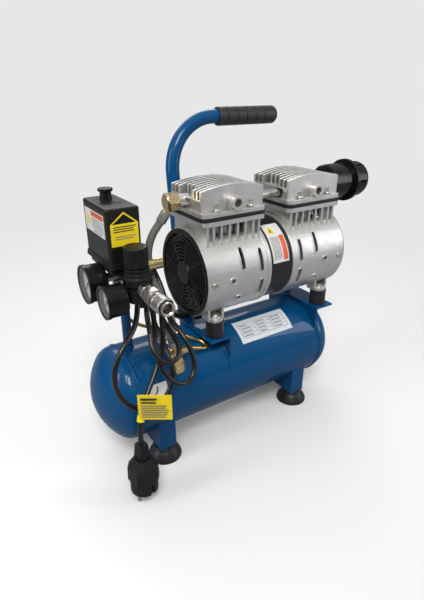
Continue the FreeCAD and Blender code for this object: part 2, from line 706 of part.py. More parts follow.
def delivery_line():
    """Brass elbow on the left head, braided hose, check valve and unloader tube."""
    wall_x = cylinder_x() - 46
    stub = ring(V(wall_x - 16, ELBOW_Y, ELBOW_Z), XP, 6.0, 3.5, 22)
    body = hexagon(V(wall_x - 32, ELBOW_Y, ELBOW_Z), XP, 22.5, 17)
    chamfer = taper(V(wall_x - 32, ELBOW_Y, ELBOW_Z), XP, 10.2, 24, 12)
    body = body.common(join(chamfer, rod(V(wall_x - 20.05, ELBOW_Y, ELBOW_Z), XP, 24, 9)))
    start = HOSE_ROUTE[0]
    way = (HOSE_ROUTE[1] - start).normalize()
    spigot = rod(start - way * 14, way, 5.4, 14)
    save("outlet_elbow", join(stub, body, spigot))
    last = HOSE_ROUTE[-1]
    end_way = (last - HOSE_ROUTE[-2]).normalize()
    hose = routed(HOSE_ROUTE, HOSE_D / 2, "delivery hose")
    ferrules = []
    for at, along, length in ((start, way, 15.0), (last, end_way * -1, 8.0)):
        sleeve = ring(at, along, 7.0, HOSE_D / 2 + 0.05, length)
        ferrules.append(sleeve)
    save("delivery_hose", hose)
    save("hose_ferrules", *ferrules)
    boss = rod(check_valve_point(-6), VALVE_UP, 11.5, 9)
    knurled = rod(check_valve_point(3), VALVE_UP, 10.5, 9)
    hex_low = hexagon(check_valve_point(12), VALVE_UP, 17.5, 9)
    neck = rod(check_valve_point(21), VALVE_UP, 7.2, 5)
    hex_top = hexagon(check_valve_point(26), VALVE_UP, 14.5, 6)
    tip = rod(check_valve_point(32), VALVE_UP, 5.2, 3.0)
    side = rod(check_valve_point(22), XP, 5.0, 11)
    nut = hexagon(check_valve_point(22) + V(11, 0, 0), XP, 11.5, 8)
    valve = join(boss, knurled, hex_low, neck, hex_top, tip, side, nut)
    save("check_valve", valve.cut(TANK_SOLID))


UNLOADER_ROUTE = [V(-66, -50.5, 167.5), V(-55, -50.5, 164.3), V(-49.3, -45.2, 163.8),
                  V(-49.3, -37.6, 165.2), V(-55, -31.8, 168.6), V(-66, -30, 174.5),
                  V(-79, -20, 181), V(-100, -2, 187), V(-122, 9, 192.5),
                  V(-138, 16, 201), V(-147, 20, 216),
                  V(-150, 20.5, 238), V(-152, 18.5, 260), V(-152.5, 17, 281), V(-153, 17.5, 300)]


def unloader_line():
    start = check_valve_point(22) + V(19, 0, 0)
    route = [start, start + V(11, 0, 0)] + UNLOADER_ROUTE
    save("unloader_tube", routed(route, UNLOADER_D / 2, "unloader tube"))


# ---- pressure switch and manifold -----------------------------------------------------
def riser_and_manifold():
    riser_low = TANK_Z + TANK_R - 6
    length = MANIFOLD_Z - 13 - riser_low
    riser = join(rod(V(RISER_X, 0, riser_low), ZP, RISER_R, length),
                 taper(V(RISER_X, 0, riser_low), ZP, 10.4, RISER_R - 0.5, 12))
    bore = rod(V(RISER_X, 0, riser_low - 1), ZP, RISER_R - 1.5, length + 2)
    save("riser_pipe", carve(riser, TANK_SOLID, bore))
    core = block(RISER_X - 11, RISER_X + 11, -11, 11, MANIFOLD_Z - 13, MANIFOLD_Z + 10)
    core = soften(core, 2.0, upright)
    neck = rod(V(RISER_X, 0, MANIFOLD_Z + 9), ZP, 9.0, SWITCH_BASE_Z - MANIFOLD_Z - 9)
    arm = rod(V(REG_X, -10, MANIFOLD_Z), YN, 6.4, REG_Y * -1 - 17 - 10)
    arm_hex = hexagon(V(REG_X, -20, MANIFOLD_Z), YN, 13.0, 9)
    west = rod(V(RISER_X - 10, 0, MANIFOLD_Z), XN, 6.0, 12)
    plug = hexagon(V(REG_X - 5, -24.5, MANIFOLD_Z), XN, 9.0, 9)
    save("manifold", join(core, neck, arm, arm_hex, west, plug))
    valve_z = MANIFOLD_Z + 5
    safety = join(hexagon(V(RISER_X + 11, 0, valve_z), XP, 15.0, 8),
                  rod(V(RISER_X + 19, 0, valve_z), XP, 6.6, 18),
                  rod(V(RISER_X + 37, 0, valve_z), XP, 7.9, 21.5))
    safety = safety.cut(rod(V(RISER_X + 48, 0, valve_z), XP, 4.2, 12))
    save("safety_valve", safety)


def pressure_switch():
    """Base tray, deep cover and a pull knob; the cover's lip overhangs the base."""
    half_x = 21.5
    half_y = 40.5
    base = block(SWITCH_X - half_x + 2, SWITCH_X + half_x - 2, -half_y + 2, half_y - 2,
                 SWITCH_BASE_Z, COVER_Z - 0.1)
    base = soften(base, 4.0, upright)
    lip = block(SWITCH_X - half_x - 2, SWITCH_X + half_x + 2, -half_y - 2, half_y + 2,
                COVER_Z - 3.0, COVER_Z - 0.1)
    lip = soften(lip, 5.0, upright)
    post = rod(V(SWITCH_X + 1, 0, COVER_Z - 1), ZP, 7.0, 40)
    save("switch_base", join(base, lip, post))
    cover = block(SWITCH_X - half_x, SWITCH_X + half_x, -half_y, half_y, COVER_Z, COVER_TOP)
    cover = soften(cover, 4.0, upright)
    cover = soften(cover, 3.0, lambda c, e: c.z > COVER_TOP - 0.1)
    skirt = block(SWITCH_X - half_x - 1.5, SWITCH_X + half_x + 1.5, -half_y - 1.5,
                  half_y + 1.5, COVER_Z, COVER_Z + 3.5)
    skirt = soften(skirt, 5.0, upright)
    hollow = block(SWITCH_X - half_x + 2.5, SWITCH_X + half_x - 2.5, -half_y + 2.5,
                   half_y - 2.5, COVER_Z - 1, COVER_TOP - 2.5)
    stem_hole = rod(V(SWITCH_X + 1, SWITCH_KNOB_Y, COVER_TOP - 6), ZP, 8.55, 10)
    slot = block(SWITCH_X + 2, SWITCH_X + 10, -14, -10.5, COVER_TOP - 6, COVER_TOP + 1)
    save("switch_cover", carve(join(cover, skirt), hollow, stem_hole, slot))
    cap_profile = [(-12, 0), (-12, 7.0), (-4, 7.0), (-4, 8.5), (1, 7.6), (9.5, 7.0),
                   (10.2, 8.9), (10.8, 9.4), (13, 9.4), (13.7, 8.7), (14, 6.0), (14, 0)]
    save("switch_knob", turned(cap_profile, V(SWITCH_X + 1, SWITCH_KNOB_Y, COVER_TOP), ZP))


SWITCH_KNOB_Y = 15.0


# ---- gauges ---------------------------------------------------------------------------
def gauge(face, radius, depth, stem_to):
    """Round case open at the left, with its stem; returns case, dial, lens and needle."""
    shell = rod(face, XP, radius, depth)
    shell = soften(shell, 2.5, lambda c, e: c.x > face.x + depth - 0.1)
    rim = ring(face + V(-0.4, 0, 0), XP, radius + 1.0, radius - 2.0, 4.5)
    recess = rod(face + V(-1, 0, 0), XP, radius - 2.0, 9.0)
    stem = rod(face + V(depth - 1, 0, 0), XP, 6.0, stem_to - face.x - depth + 1)
    case = carve(join(shell, rim, stem), recess)
    dial = rod(face + V(6.6, 0, 0), XP, radius - 2.1, 1.3)
    pivot = rod(face + V(3, 0, 0), XP, 1.3, 6)
    dial = dial.cut(pivot)
    lens = rod(face + V(0.8, 0, 0), XP, radius - 2.1, 1.4)
    arm_points = [V(0, -0.9, -radius * 0.28), V(0, 0.9, -radius * 0.28),
                  V(0, 0.35, radius * 0.68), V(0, -0.35, radius * 0.68)]
    arm = Part.Face(Part.makePolygon(arm_points + arm_points[:1])).extrude(XP * 0.8)
    arm = join(arm, rod(V(-0.6, 0, 0), XP, 2.2, 1.4), rod(V(0, 0, 0), XP, 1.25, 3.4))
    arm.rotate(V(0, 0, 0), XP, NEEDLE_REST)
    arm.translate(face + V(4.2, 0, 0))
    return case, dial, lens, arm


NEEDLE_REST = 225.0            # a needle at zero points down and to the left of its dial
TANK_GAUGE = V(-205, -3, 282)
REG_GAUGE = V(-203, REG_Y, 280)


def gauges():
    case_a, dial_a, lens_a, needle_a = gauge(TANK_GAUGE, 24.5, 25, RISER_X - 22.1)
    case_b, dial_b, lens_b, needle_b = gauge(REG_GAUGE, 19.8, 26, REG_X - 16.1)
    save("tank_gauge_case", case_a)
    save("regulator_gauge_case", case_b)
    save("gauge_dials", dial_a, dial_b)
    save("gauge_lenses", lens_a, lens_b)
    save("tank_gauge_needle", needle_a)
    save("regulator_gauge_needle", needle_b)


# ---- regulator and coupler ------------------------------------------------------------
def regulator():
    """Cast body with a bonnet, an adjusting screw and a fluted pull-to-turn knob."""
    low = 272.0
    x = REG_X
    y = REG_Y
    body = turned([(0, 0), (0, 9), (3, 13), (8, 15.5), (22, 16), (24, 18), (33, 18),
                   (35, 15.6), (38, 15.6), (38.6, 14.6), (41, 14.6), (41.6, 15.4), (44.6, 15.4),
                   (44.6, 0)], V(x, y, low), ZP)
    flat = block(x - 16, x + 16, y - 17, y + 17, low + 5, low + 21)
    flat = soften(flat, 5.0, upright)
    drain_at = V(x + 3, y - 3, low + 1)
    body = join(body, flat, rod(drain_at, ZN, 5.5, 5), hexagon(drain_at - ZP * 5, ZN, 8, 4))
    bore = rod(V(x, y, low + 25), ZP, 5.06, 30)
    spot_face = rod(V(x, y - 17.05, COUPLER_Z), YN, 12.2, 5)
    save("regulator_body", carve(body, bore, spot_face))
    screw = join(rod(V(x, y, low + 26), ZP, 5.0, 18), rod(V(x, y, low + 44), ZP, 3.4, 20))
    save("adjusting_screw", screw)
    knob = rod(V(x, y, KNOB_Z), ZP, 14.6, KNOB_TOP - KNOB_Z)
    knob = soften(knob, 2.0, lambda c, e: c.z > KNOB_TOP - 0.1)
    flutes = []
    for k in range(18):
        a = 2 * math.pi * k / 18
        flutes.append(rod(V(x + 15.7 * math.cos(a), y + 15.7 * math.sin(a), KNOB_Z - 1), ZP,
                          1.9, 22))
    socket = rod(V(x, y, KNOB_Z - 1), ZP, 3.45, 20.5)
    skirt = rod(V(x, y, KNOB_Z - 1), ZP, 10.8, 5)
    crown = ring(V(x, y, KNOB_TOP - 1.0), ZP, 9.5, 8.6, 2)
    save("regulator_knob", carve(knob, socket, skirt, crown, *flutes))


def coupler():
    """Quick coupler: a threaded body with a bored nose, and its sliding sleeve."""
    z = COUPLER_Z
    x = REG_X
    start = REG_Y - 17.1
    nose_len = start - COUPLER_MOUTH_Y
    body = join(hexagon(V(x, start, z), YN, 17.0, 9),
                rod(V(x, start - 9, z), YN, 8.0, 10),
                hexagon(V(x, start - 16, z), YN, 19.0, 12),
                rod(V(x, start - 28, z), YN, 8.4, nose_len - 28))
    mouth = V(x, COUPLER_MOUTH_Y, z)
    flare = taper(mouth, YP, 7.2, COUPLER_BORE_R, 1.8)
    bore = rod(mouth, YP, COUPLER_BORE_R, COUPLER_BORE_L + 1.8)
    save("coupler_body", carve(body, bore, flare))
    sleeve_start = start - 34.0
    sleeve_len = nose_len - 34.0 - 6.0
    sleeve = ring(V(x, sleeve_start, z), YN, 10.9, 8.46, sleeve_len)
    grooves = []
    for k in range(3):
        at = V(x, sleeve_start - 5 - 5.0 * k, z)
        grooves.append(ring(at, YN, 12, 10.3, 1.6))
    save("coupler_sleeve", carve(sleeve, *grooves))


# ---- handle ---------------------------------------------------------------------------
def leaned(x, along):
    """A point of the handle's leaning plane, a distance up from its foot."""
    return V(x, HANDLE_FOOT_Y + along * math.sin(HANDLE_LEAN),
             HANDLE_FOOT_Z + along * math.cos(HANDLE_LEAN))


def handle():
    rise = (HANDLE_TOP - HANDLE_FOOT_Z) / math.cos(HANDLE_LEAN)
    straight = rise - HANDLE_BEND
    foot = leaned(HANDLE_X, 0)
    bend_start = leaned(HANDLE_X, straight)
    half = math.sqrt(0.5) * HANDLE_BEND
    bend_mid = leaned(HANDLE_X + HANDLE_BEND - half, straight + half)
    bend_end = leaned(HANDLE_X + HANDLE_BEND, rise)
    tip = leaned(GRIP_END - 5, rise)
    path = Part.Wire([Part.makeLine(foot, bend_start),
                      Part.Arc(bend_start, bend_mid, bend_end).toShape(),
                      Part.makeLine(bend_end, tip)])
    up = (bend_start - foot).normalize()
    outer = path.makePipeShell([Part.Wire([Part.makeCircle(HANDLE_R, foot, up)])], True, False)
    inner = path.makePipeShell([Part.Wire([Part.makeCircle(HANDLE_R - 1.8, foot, up)])],
                               True, False)
    save("handle_tube", outer.cut(inner).cut(TANK_SOLID))
    start = leaned(GRIP_START, rise)
    length = GRIP_END - GRIP_START
    grip = rod(start, XP, GRIP_R, length)
    grip = soften(grip, 9.0, lambda c, e: c.x > GRIP_END - 0.1)
    grip = soften(grip, 2.0, lambda c, e: c.x < GRIP_START + 0.1)
    grooves = [ring(start + V(18.5 * k + 13, 0, 0), XP, GRIP_R + 1, GRIP_R - 1.0, 1.6)
               for k in range(5)]
    bore = rod(start - XP, XP, HANDLE_R + 0.02, length - 5 + 1)
    save("handle_grip", carve(grip, bore, *grooves))


# ---- cables ---------------------------------------------------------------------------
def fold_over(back_x, back_y, front_x, front_y, z):
    """Four route points that carry the hanging cord half a turn over the regulator arm."""
    back = V(back_x, back_y, z)
    front = V(front_x, front_y, z)
    centre = (back + front) / 2
    way = (front - back).normalize()
    reach = (front - back).Length / 2
    near = reach * math.tan(math.radians(22.5))
    return [centre - way * reach + ZP * near, centre - way * near + ZP * reach,
            centre + way * near + ZP * reach, centre + way * reach + ZP * near]


CORD_EXIT = [V(-145, -26, SWITCH_BASE_Z), V(-145, -26, 285), V(-150, -40, 267),
             V(-157, -53, 250), V(-168, -67, 238), V(-185, -79, 229), V(-200, -86, 216),
             V(-208, -89, 196), V(-208, -91, 173), V(-198, -92, 150), V(-180, -91, 133),
             V(-158, -88, 126), V(-139, -85, 131), V(-127, -81, 147), V(-121, -74, 168),
             V(-122, -60, 186), V(-122.5, -42, 201), V(-122.5, -26, 216),
             V(-122.5, -21, 233)]
CORD_LOOP_A = [V(-149, -70, 228), V(-154, -83, 213), V(-151, -93, 200), V(-140, -98, 192),
               V(-123, -95, 193), V(-115, -84, 203), V(-114, -66, 210), V(-113, -48, 214),
               V(-112, -31, 220), V(-112, -22, 233)]
CORD_LOOP_B = [V(-141, -67, 221), V(-146, -76, 205), V(-146, -86, 188), V(-141, -93, 172),
               V(-129, -98, 157), V(-110, -97, 151), V(-96, -90, 162), V(-94, -82, 182),
               V(-98, -71, 201), V(-102, -55, 214), V(-103.5, -38, 219),
               V(-102.5, -25, 228)]
CORD_TAIL = [V(-130, -67, 222), V(-133, -72, 202), V(-145, -78, 181), V(-158, -87, 167),
             V(-172, -96, 154), V(-183, -104, 139), V(PLUG_X, PLUG_Y, 119),
             V(PLUG_X, PLUG_Y, PLUG_TOP)]
CORD_ROUTE = (CORD_EXIT + fold_over(-122.5, -22, -148.5, -61, 240) + CORD_LOOP_A
              + fold_over(-112.5, -22, -139, -61, 239) + CORD_LOOP_B
              + fold_over(-102.5, -25, -129.5, -65, 234) + CORD_TAIL)
CABLE_ROUTE = [V(-140.5, 24, 302.9), V(-124, 24, 302.9), V(-109, 27, 296), V(-98, 29, 281),
               V(-92, 25, 264), V(-90, 15, 250), V(-90, 4, 236), V(-88, -1, 220),
               V(-79.5, -1.5, 204), V(-64, 0, 195), V(-46, 0, 195)]


def cables():
    """Mains cord from the switch to the plug, and the cable from the switch to the motor."""
    save("mains_cord", routed(CORD_ROUTE, CORD_D / 2, "mains cord"))
    save("motor_cable", routed(CABLE_ROUTE, CABLE_D / 2, "motor cable"))
    glands = []
    for at, way in ((CORD_ROUTE[0], ZN), (CABLE_ROUTE[0], XP)):
        bore = rod(at - way, way, CORD_D / 2 + 0.02, 12)
        nut = hexagon(at, way, 12.5, 3.5) if way == ZN else rod(at, way, 5.0, 3.5)
        body = join(nut, taper(at + way * 3.4, way, 5.0, 4.3, 4.0))
        glands.append(body.cut(bore))
    case = rod(V(-100, 0, MOTOR_Z), XP, CASE_R + 0.02, 120)
    terminal = soften(block(-46, -30, -9, 9, 189, 205), 2.0, upright).cut(case)
    glands.append(terminal)
    save("cable_glands", *glands)


def plug():
    """Straight two-pin plug: ribbed square strain relief, angular grip and round base."""
    at = V(PLUG_X, PLUG_Y, 0)
    top = PLUG_TOP
    relief = []
    for k in range(5):
        z = top - 3.6 - 4.6 * k
        half = 6.2 + 0.35 * k
        relief.append(block(-half, half, -half, half, z, z + 3.6))
    core = block(-4.9, 4.9, -4.9, 4.9, top - 25, top)
    shoulder = Part.makeLoft([square(10.0, top - 23), square(17.5, top - 35)], True)
    grip = Part.makeLoft([square(17.5, top - 35), square(18.2, top - 56)], True)
    base = rod(V(0, 0, top - 76), ZP, 18.6, 24)
    base = soften(base, 2.0, lambda c, e: c.z < top - 75.9)
    whole = join(core, shoulder, grip, base, *relief)
    notches = [block(-3.2, 3.2, sy * 20 - 4.5, sy * 20 + 4.5, top - 77, top - 60)
               for sy in (-1, 1)]
    sockets = [rod(V(sx * 9.5, 0, top - 77), ZP, 2.4, 12) for sx in (-1, 1)]
    whole = carve(whole, *(notches + sockets))
    pins = []
    for sx in (-1, 1):
        pin = rod(V(sx * 9.5, 0, top - 93.5), ZP, 2.4, 28.5)
        pins.append(soften(pin, 1.2, lambda c, e: c.z < top - 93.4))
    placed = FreeCAD.Placement(at, FreeCAD.Rotation(ZP, 12))
    for piece in [whole] + pins:
        piece.Placement = placed
    save("mains_plug", whole)
    save("plug_pins", *pins)


def square(half, z):
    """A square outline with clipped corners, as a wire for lofting."""
    clip = half * 0.42
    corners = [(-half, clip - half), (-half, half - clip), (clip - half, half),
               (half - clip, half), (half, half - clip), (half, clip - half),
               (half - clip, -half), (clip - half, -half)]
    points = [V(x, y, z) for x, y in corners]
    return Part.makePolygon(points + points[:1])


def cord_tag():
    """A card flag whose band is wrapped round the cord's tail."""
    upper = CORD_TAIL[5]
    lower = CORD_TAIL[6]
    along = (lower - upper).normalize()
    middle = (upper + lower) / 2 - along * 3
    band = ring(middle - along * 4, along, 4.9, CORD_D / 2 + 0.45, 8)
    turn = math.radians(33)
    wide = V(math.cos(turn), -math.sin(turn), 0)
    out = V(-math.sin(turn), -math.cos(turn), 0)
    corner = middle + out * 4.1 - wide * 1.5
    corner.z = middle.z + 2.2
    points = [corner, corner + wide * 42, corner + wide * 42 + ZP * 37, corner + ZP * 37]
    leaf = Part.Face(Part.makePolygon(points + points[:1])).extrude(out * 0.7)
    save("cord_tag", join(band, leaf))


# ---- drain ----------------------------------------------------------------------------
def tank_drain():
    z = TANK_Z - TANK_R
    boss = rod(V(0, 0, z - 3), ZP, 9.5, 6).cut(TANK_SOLID)
    body = join(boss, hexagon(V(0, 0, z - 10), ZP, 13, 7))
    save("drain_valve", body.cut(rod(V(0, 0, z - 12), ZP, 3.06, 10)))
    wings = block(-10, 10, -1.6, 1.6, z - 21, z - 13)
    wings = soften(wings, 1.2, lambda c, e: True)
    save("drain_screw", join(wings, rod(V(0, 0, z - 18), ZP, 3.0, 14)))


tank()
stand()
motor_mounts()
crankcases()
rotor_parts()
stator()
grille = fan_grille()
save("fan_grilles", grille, mirrored(grille))
screws()
heads()
intake_filter()
delivery_line()
unloader_line()
riser_and_manifold()
pressure_switch()
gauges()
regulator()
coupler()
handle()
cables()
plug()
cord_tag()
tank_drain()
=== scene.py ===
import math

import bpy
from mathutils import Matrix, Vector, noise


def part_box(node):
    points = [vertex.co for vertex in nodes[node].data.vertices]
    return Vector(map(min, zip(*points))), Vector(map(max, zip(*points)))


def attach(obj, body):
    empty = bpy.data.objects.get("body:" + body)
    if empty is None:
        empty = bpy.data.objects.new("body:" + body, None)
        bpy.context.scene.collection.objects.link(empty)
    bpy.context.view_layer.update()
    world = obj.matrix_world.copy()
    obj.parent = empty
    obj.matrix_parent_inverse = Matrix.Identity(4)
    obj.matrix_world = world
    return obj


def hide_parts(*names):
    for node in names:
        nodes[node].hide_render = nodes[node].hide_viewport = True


# Looks for the airbrush compressor.  Everything is in metres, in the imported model's frame:
# X along the tank towards the intake filter, Y to the back, Z up, floor at zero.

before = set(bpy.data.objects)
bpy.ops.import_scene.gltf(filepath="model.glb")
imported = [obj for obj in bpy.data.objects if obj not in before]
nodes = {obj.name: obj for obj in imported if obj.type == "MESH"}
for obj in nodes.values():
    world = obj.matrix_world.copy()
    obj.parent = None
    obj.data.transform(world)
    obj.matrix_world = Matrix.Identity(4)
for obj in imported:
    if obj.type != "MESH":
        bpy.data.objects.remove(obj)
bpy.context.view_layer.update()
ROOT = "compressor"
MM = 0.001
X = Vector((1, 0, 0))
Y = Vector((0, 1, 0))
Z = Vector((0, 0, 1))


def mm(x, y, z):
    return Vector((x * MM, y * MM, z * MM))


def middle(node):
    low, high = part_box(node)
    return (Vector(low) + Vector(high)) / 2


# ---- camera ---------------------------------------------------------------------------
CAMERA_AT = mm(-354.8, -532.6, 507.2)
CAMERA_WAY = Vector((0.4919, 0.7603, -0.4242))
LENS_MM = 27.06

camera = bpy.data.objects.new("camera", bpy.data.cameras.new("camera"))
camera.data.lens = LENS_MM
camera.data.sensor_width = 36.0
camera.location = CAMERA_AT
camera.rotation_euler = CAMERA_WAY.to_track_quat("-Z", "Y").to_euler()
bpy.context.scene.collection.objects.link(camera)
bpy.context.scene.camera = camera


# ---- material tools -------------------------------------------------------------------
class Surface:
    """A node material built up step by step around one Principled shader."""

    def __init__(self, name, color, roughness, metallic=0.0):
        self.material = bpy.data.materials.new(name)
        self.material.use_nodes = True
        self.tree = self.material.node_tree
        self.shader = self.tree.nodes["Principled BSDF"]
        self.shader.inputs["Base Color"].default_value = (*color, 1.0)
        self.shader.inputs["Roughness"].default_value = roughness
        self.shader.inputs["Metallic"].default_value = metallic
        self.roughness = roughness
        self.normal = None
        self.space = self.node("ShaderNodeTexCoord").outputs["Object"]

    def node(self, kind, **values):
        made = self.tree.nodes.new(kind)
        for key, value in values.items():
            setattr(made, key, value)
        return made

    def link(self, source, target):
        self.tree.links.new(source, target)

    def math(self, operation, a, b=None, c=None, clamp=False):
        made = self.node("ShaderNodeMath", operation=operation, use_clamp=clamp)
        for index, value in enumerate((a, b, c)):
            if value is None:
                continue
            if isinstance(value, (int, float)):
                made.inputs[index].default_value = value
            else:
                self.link(value, made.inputs[index])
        return made.outputs[0]

    def stretched(self, sx, sy, sz):
        mapping = self.node("ShaderNodeMapping")
        self.link(self.space, mapping.inputs["Vector"])
        mapping.inputs["Scale"].default_value = (sx, sy, sz)
        return mapping.outputs["Vector"]

    def noise(self, scale, detail=3.0, rough=0.55, space=None):
        made = self.node("ShaderNodeTexNoise")
        made.inputs["Scale"].default_value = scale
        made.inputs["Detail"].default_value = detail
        made.inputs["Roughness"].default_value = rough
        self.link(space or self.space, made.inputs["Vector"])
        return made.outputs["Fac"]

    def cells(self, scale, feature="F1"):
        made = self.node("ShaderNodeTexVoronoi", feature=feature)
        made.inputs["Scale"].default_value = scale
        self.link(self.space, made.inputs["Vector"])
        return made.outputs["Distance"]

    def remap(self, value, low, high, to_low=0.0, to_high=1.0):
        made = self.node("ShaderNodeMapRange")
        self.link(value, made.inputs["Value"])
        made.inputs["From Min"].default_value = low
        made.inputs["From Max"].default_value = high
        made.inputs["To Min"].default_value = to_low
        made.inputs["To Max"].default_value = to_high
        return made.outputs["Result"]

    def tint(self, mask, color):
        """Mix a colour over what the base colour is so far."""
        mix = self.node("ShaderNodeMix", data_type="RGBA")
        self.link(mask, mix.inputs["Factor"])
        base = self.shader.inputs["Base Color"]
        if base.is_linked:
            self.link(base.links[0].from_socket, mix.inputs["A"])
        else:
            mix.inputs["A"].default_value = base.default_value[:]
        mix.inputs["B"].default_value = (*color, 1.0)
        self.link(mix.outputs["Result"], base)

    def vary_roughness(self, mask, amount):
        """Roughness runs from its set value to that plus the amount as the mask goes to 1."""
        low = self.roughness
        self.link(self.remap(mask, 0.0, 1.0, low, low + amount), self.shader.inputs["Roughness"])

    def bump(self, height, distance, strength=1.0):
        made = self.node("ShaderNodeBump")
        made.inputs["Distance"].default_value = distance
        made.inputs["Strength"].default_value = strength
        self.link(height, made.inputs["Height"])
        if self.normal is not None:
            self.link(self.normal, made.inputs["Normal"])
        self.normal = made.outputs["Normal"]
        self.link(self.normal, self.shader.inputs["Normal"])

    def soft_edges(self, radius):
        """Round the look of sharp edges, and return a mask that is 1 on them."""
        bevel = self.node("ShaderNodeBevel", samples=4)
        bevel.inputs["Radius"].default_value = radius
        self.normal = bevel.outputs["Normal"]
        self.link(self.normal, self.shader.inputs["Normal"])
        flat = self.node("ShaderNodeNewGeometry").outputs["Normal"]
        dot = self.node("ShaderNodeVectorMath", operation="DOT_PRODUCT")
        self.link(bevel.outputs["Normal"], dot.inputs[0])
        self.link(flat, dot.inputs[1])
        return self.remap(dot.outputs["Value"], 0.985, 0.86)

    def hollows(self, distance):
        """A mask that is 1 deep in corners and holes, used to paint shade there."""
        shade = self.node("ShaderNodeAmbientOcclusion", samples=4, only_local=True)
        shade.inputs["Distance"].default_value = distance
        return self.remap(shade.outputs["AO"], 0.75, 0.2)

    def set(self, **values):
        for key, value in values.items():
            self.shader.inputs[key.replace("_", " ")].default_value = value


def gloss_paint():
    s = Surface("blue_gloss_paint", (0.0, 0.062, 0.180), 0.28)
    edge = s.soft_edges(0.0012)
    cloud = s.noise(9.0, 3.0)
    s.tint(s.remap(cloud, 0.35, 0.75, 0.0, 0.35), (0.0, 0.085, 0.240))
    # Painted highlight: the edges are tinted a lighter blue. The grey chips below are wear.
    s.tint(s.math("MULTIPLY", edge, 0.3), (0.0, 0.14, 0.33))
    chips = s.math("MULTIPLY", edge, s.remap(s.noise(420.0, 2.0), 0.66, 0.72))
    s.tint(chips, (0.20, 0.23, 0.26))
    s.vary_roughness(s.remap(s.noise(60.0, 4.0), 0.3, 0.8), 0.10)
    s.bump(s.noise(330.0, 1.0), 0.00006, 0.5)
    s.set(Specular_IOR_Level=0.10, Coat_Weight=0.4, Coat_Roughness=0.02)
    return s


def cast_metal():
    s = Surface("cast_aluminium", (0.74, 0.73, 0.705), 0.32, 0.85)
    edge = s.soft_edges(0.0010)
    blotch = s.noise(26.0, 5.0, 0.65)
    s.tint(s.remap(blotch, 0.35, 0.75, 0.0, 0.6), (0.60, 0.595, 0.58))
    s.tint(s.remap(s.noise(900.0, 2.0), 0.5, 0.75, 0.0, 0.45), (0.33, 0.33, 0.325))
    # Painted highlight: the edges are tinted near white.
    s.tint(s.math("MULTIPLY", edge, 0.6), (0.85, 0.85, 0.84))
    # Painted shade: darker deep in corners and holes, broken up by noise.
    hollow_shade = s.math("MULTIPLY", s.hollows(0.012), s.remap(s.noise(90.0, 4.0), 0.25, 0.65))
    s.tint(s.math("MULTIPLY", hollow_shade, 0.7), (0.10, 0.10, 0.095))
    s.vary_roughness(s.remap(s.noise(140.0, 4.0), 0.3, 0.75), 0.16)
    grain = s.math("ADD", s.noise(1300.0, 2.0), s.math("MULTIPLY", s.noise(420.0, 2.0), 0.8))
    s.bump(grain, 0.00016, 0.7)
    return s


def machined_metal(name, color, roughness, lines=(1.0, 1.0, 1.0), edge_light=0.35):
    """Turned or drawn metal with fine tool lines across the given stretch."""
    s = Surface(name, color, roughness, 1.0)
    edge = s.soft_edges(0.0005)
    light = tuple(min(1.0, c * 1.25) for c in color)
    dark = tuple(c * 0.55 for c in color)
    # Painted highlight: the edges are tinted lighter, by edge_light.
    s.tint(s.math("MULTIPLY", edge, edge_light), light)
    s.tint(s.remap(s.noise(70.0, 5.0, 0.7), 0.5, 0.85, 0.0, 0.3), dark)
    tool = s.noise(1.0, 2.0, 0.5, s.stretched(*[900.0 * k for k in lines]))
    s.vary_roughness(s.remap(tool, 0.3, 0.7), 0.16)
    s.bump(tool, 0.00003, 0.35)
    return s


def moulded(name, color, roughness, grain=900.0, depth=0.00005, light=1.9, radius=0.0009):
    """Moulded plastic: fine grain, painted highlights on the edges and a little dust in lighter
    blotches.
    """
    s = Surface(name, color, roughness)
    edge = s.soft_edges(radius)
    s.tint(s.remap(s.noise(35.0, 4.0), 0.4, 0.8, 0.0, 0.5), tuple(c * 1.35 for c in color))
    # Painted highlight: the edges are tinted lighter; light sets by how much.
    s.tint(s.math("MULTIPLY", edge, 0.5), tuple(min(1.0, c * light + 0.006) for c in color))
    s.vary_roughness(s.remap(s.noise(120.0, 3.0), 0.3, 0.75), 0.14)
    s.bump(s.noise(grain, 2.0), depth, 0.6)
    s.set(Specular_IOR_Level=0.3)
    return s


def rubber(name, color, roughness, grain=600.0):
    s = Surface(name, color, roughness)
    s.soft_edges(0.0010)
    s.tint(s.remap(s.noise(28.0, 5.0, 0.65), 0.45, 0.8, 0.0, 0.7), tuple(c * 1.9 for c in color))
    s.tint(s.remap(s.noise(2200.0, 1.0), 0.68, 0.8, 0.0, 0.3), (0.05, 0.05, 0.048))
    s.vary_roughness(s.remap(s.noise(70.0, 4.0), 0.3, 0.8), 0.15)
    s.bump(s.noise(grain, 3.0), 0.00012, 0.5)
    s.set(Sheen_Weight=0.03, Sheen_Roughness=0.5)
    return s


def laminated():
    """Stacked steel sheets: thin lines across X under dark varnish."""
    s = Surface("stator_laminations", (0.010, 0.0105, 0.012), 0.30, 0.2)
    edge = s.soft_edges(0.0008)
    sheets = s.noise(1.0, 1.0, 0.5, s.stretched(1900.0, 14.0, 14.0))
    s.tint(s.remap(sheets, 0.4, 0.7, 0.0, 0.7), (0.018, 0.019, 0.021))
    # Painted highlight: the edges are tinted lighter.
    s.tint(s.math("MULTIPLY", edge, 0.4), (0.06, 0.06, 0.06))
    s.vary_roughness(s.remap(sheets, 0.3, 0.7), 0.12)
    s.bump(sheets, 0.00006, 0.5)
    return s


def wound_copper():
    s = Surface("copper_windings", (0.42, 0.13, 0.05), 0.33, 0.8)
    wires = s.node("ShaderNodeTexWave", wave_type="RINGS", rings_direction="X")
    s.link(s.space, wires.inputs["Vector"])
    wires.inputs["Scale"].default_value = 420.0
    wires.inputs["Distortion"].default_value = 3.0
    s.tint(s.math("MULTIPLY", wires.outputs["Fac"], 0.6), (0.16, 0.04, 0.015))
    s.bump(wires.outputs["Fac"], 0.0004, 0.8)
    return s


